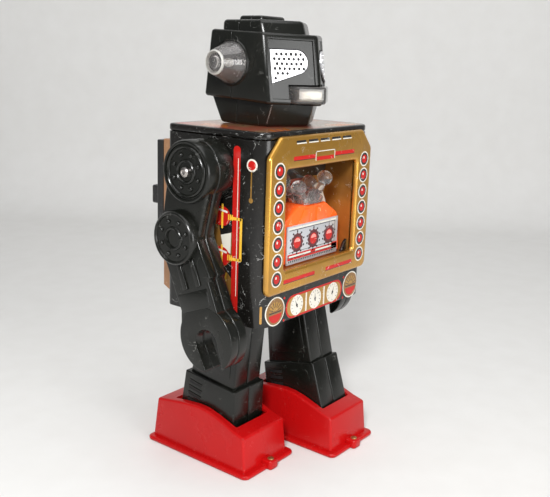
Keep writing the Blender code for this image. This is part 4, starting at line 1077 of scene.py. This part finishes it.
def make_eye(side, word):
    shape = [(31.2, 241.8), (31.2, 260.8)] + arc((14.7, 254.0), 6.7, 95, 250, 16)
    plate = slab(shape, (-0.55, 0.25), 1)
    holes = []
    for row in range(6):
        for col in range(7):
            across = 10.6 + 3.05 * col + 1.5 * (row % 2)
            z = 244.6 + 2.75 * row
            inside = z > 249.5 - (across - 10.0) * 0.32 + 0.6 and z < 258.6 + (across - 10) * 0.06
            if inside and across < 30.2 and (across > 11.4 or abs(z - 254) < 4):
                holes.append(slab(disc((across, z), 0.98, steps=14), (-2, 2), 1))
    plate = cut_out(plate, *holes)
    for v in plate.verts:
        v.co = on_face(side, v.co.x / MM, v.co.z / MM, -v.co.y / MM) * MM
    finished(f"eye_grille_{word}", plate, "torso", EYE_TIN,
             [f"eye_plate_{word}"])
    # the near-black backing behind the holes is painted shade of the hollow behind the eyes
    around = [(20.6 + (a - 20.6) * 1.06, 252.0 + (z - 252.0) * 1.08) for a, z in shape]
    dark = slab(around, (0.3, 0.6), 1)
    for v in dark.verts:
        v.co = on_face(side, v.co.x / MM, v.co.z / MM, -v.co.y / MM) * MM
    finished(f"eye_backing_{word}", dark, "torso", HOLLOW_PAINTED_SHADE)


for side, word in SIDES:
    make_eye(side, word)

# ------------------------------------------------------------------ battery box
# A box behind the body for two cells, coloured a dark tan that is its gold darkened with painted shade,
# closed by a black door and a black plate with the sliding switch. The imported solids keep their
# shapes, with rounded edges.
# the box's tan is its gold darkened with painted shade
TAN_PAINTED_SHADE = surface("box_tan_painted_shade", (0.33, 0.17, 0.085), (0.25, 0.12, 0.06), (0.5, 0.35, 0.25),
              0.38, coat=0.15, grain=0.08)
BLACK_PLASTIC = surface("black_polystyrene", (0.013, 0.013, 0.013), (0.02, 0.02, 0.02),
                        (0.2, 0.2, 0.2), 0.33, coat=0.2, grain=0.07)
NYLON = surface("white_nylon", (0.72, 0.70, 0.62), (0.55, 0.52, 0.44), (0.4, 0.38, 0.3), 0.45)
RUBBER = surface("black_rubber", (0.018, 0.018, 0.018), (0.05, 0.048, 0.045), (0.1, 0.1, 0.1),
                 0.75, grain=0.3)
CELL_WRAP = surface("cell_wrapper", (0.48, 0.05, 0.03), (0.35, 0.03, 0.02), (0.7, 0.6, 0.4),
                    0.3, coat=0.5)


def dressed(finish, nodes, edge=0.0):
    """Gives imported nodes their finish, and rounds their edges a little."""
    for name in nodes:
        node = frame["nodes"][name]
        node.data.materials.clear()
        node.data.materials.append(finish)
        if edge:
            weld = node.modifiers.new("weld", "WELD")
            weld.merge_threshold = 0.000005
            rounding = node.modifiers.new("round", "BEVEL")
            rounding.width = edge * MM
            rounding.segments = 3
            rounding.limit_method = "ANGLE"
            rounding.angle_limit = radians(35)


# battery box in the tan of painted shade
dressed(TAN_PAINTED_SHADE, ["battery_box"], 0.6)
dressed(BLACK_PLASTIC, ["battery_door"], 0.5)
dressed(BLACK_PLASTIC, ["switch_plate", "switch_knob"])
dressed(BLACK_TIN, ["body_back_panel"])
dressed(STEEL, ["body_base_plate", "gearbox_plate_right", "gearbox_plate_left", "motor",
                "gearbox_post_front", "gearbox_post_rear", "crank_axle", "crank_disc_right",
                "crank_disc_left", "hip_shaft", "shoulder_shaft", "sole_plate_right",
                "sole_plate_left", "ankle_pin_right", "ankle_pin_left"])
dressed(BRASS, ["cell_contact_strip", "motor_pinion"])
dressed(NYLON, ["gear_first", "gear_second", "gear_drive"])
dressed(RUBBER, ["roller_right", "roller_left"])
dressed(CELL_WRAP, ["battery_cell_right", "battery_cell_left"])
dressed(CLEAR, ["chest_lamp"])


def make_door_ribs():
    """Finger ribs across the top of the battery door, and beside the switch knob a near-black slab of
    painted shade for its groove.
    """
    low, high = box_of_node("battery_door")
    ribs = [slab([(low.x + 18, z), (high.x - 18, z), (high.x - 18, z + 1.1), (low.x + 18, z + 1.1)],
                 (high.y - 0.2, high.y + 0.6), 1, 0.3, 2) for z in (192.0, 194.4, 196.8, 199.2)]
    border = [slab(bar(low.x + 4, high.x - 4, z, z + 0.9), (high.y - 0.2, high.y + 0.35), 1, 0.2, 2)
              for z in (143.0, 188.0)]
    finished("door_finger_ribs", gathered(*ribs, *border), "battery_door_body", BLACK_PLASTIC)
    low, high = box_of_node("switch_plate")
    # the switch track is a near-black slab: painted shade of the groove
    track = slab(bar(-40.6, -37.4, 158.6, 184.0, 0.6), (high.y - 0.1, high.y + 0.06), 1)
    finished("switch_track", track, "torso", HOLLOW_PAINTED_SHADE)


make_door_ribs()

# ------------------------------------------------------------------ room, lights, camera
# A pale table that sweeps up into a pale wall, soft studio light, and the camera.
EYE_POINT = Vector((-0.40204, -0.31936, 0.25863))
LOOK_AT = Vector((0.02137, 0.00785, 0.12868))
ROLL = radians(1.91)
ahead = LOOK_AT - EYE_POINT
heading = Vector((ahead.x, ahead.y, 0)).normalized()


def make_room():
    paper = bpy.data.materials.new("pale_backdrop")
    paper.use_nodes = True
    tree = paper.node_tree
    where = tree.nodes.new("ShaderNodeTexCoord").outputs["Object"]
    weave = noise_node(tree, where, 40.0, 6.0)
    tree.links.new(mixed(tree, weave, (0.70, 0.69, 0.67), (0.76, 0.755, 0.74)),
                   tree.nodes["Principled BSDF"].inputs["Base Color"])
    tree.nodes["Principled BSDF"].inputs["Roughness"].default_value = 0.85
    rear = EYE_POINT.xy.to_3d() + heading * 1.20
    across = Vector((-heading.y, heading.x, 0))
    bm = bmesh.new()
    profile = ([(-7.0, 0.0), (0.0, 0.0)]
               + [(0.12 * sin(radians(a)), 0.12 - 0.12 * cos(radians(a))) for a in range(15, 91, 15)]
               + [(0.12, 2.6)])
    rows = []
    for sign in (-1, 1):
        row = [bm.verts.new(rear + heading * run + across * sign * 5.0 + Vector((0, 0, z)))
               for run, z in profile]
        rows.append([bm.edges.new(pair) for pair in zip(row, row[1:])])
    bmesh.ops.bridge_loops(bm, edges=rows[0] + rows[1])
    bmesh.ops.recalc_face_normals(bm, faces=bm.faces)
    mesh = bpy.data.meshes.new("backdrop")
    bm.to_mesh(mesh)
    bm.free()
    mesh.shade_smooth()
    mesh.materials.append(paper)
    backdrop = bpy.data.objects.new("backdrop", mesh)
    bpy.context.scene.collection.objects.link(backdrop)


def make_light(name, place, target, power, size, height=None, colour=(1, 1, 1)):
    lamp = bpy.data.lights.new(name, "AREA")
    lamp.energy = power
    lamp.color = colour
    lamp.shape = "RECTANGLE"
    lamp.size = size
    lamp.size_y = height or size
    holder = bpy.data.objects.new(name, lamp)
    holder.location = place
    holder.rotation_euler = (Vector(target) - Vector(place)).to_track_quat("-Z", "Y").to_euler()
    bpy.context.scene.collection.objects.link(holder)


def make_camera():
    lens = bpy.data.cameras.new("camera")
    lens.lens = 52.58
    lens.sensor_width = 36.0
    camera = bpy.data.objects.new("camera", lens)
    facing = ahead.to_track_quat("-Z", "Y").to_matrix()
    camera.matrix_world = (Matrix.Translation(EYE_POINT)
                           @ (facing @ Matrix.Rotation(ROLL, 3, "Z")).to_4x4())
    bpy.context.scene.collection.objects.link(camera)
    bpy.context.scene.camera = camera


make_room()
make_light("camera_flash", (-0.66, -0.40, 0.60), (0, 0, 0.14), 7.5, 0.16)
make_light("overhead_panel", (-0.1, -0.2, 1.5), (0, 0, 0), 9, 1.2)
make_light("front_softbox", (-0.20, -1.25, 0.27), (0, 0, 0.2), 8, 0.55, 0.7)
make_light("rear_sky", (0.6, 1.2, 1.5), (0, 0, 0.1), 6, 1.2)
world = bpy.data.worlds.new("room_light")
bpy.context.scene.world = world
world.use_nodes = True
world.node_tree.nodes["Background"].inputs["Color"].default_value = (0.95, 0.97, 1.0, 1.0)
world.node_tree.nodes["Background"].inputs["Strength"].default_value = 0.25
make_camera()
bpy.context.scene.view_settings.view_transform = "Standard"
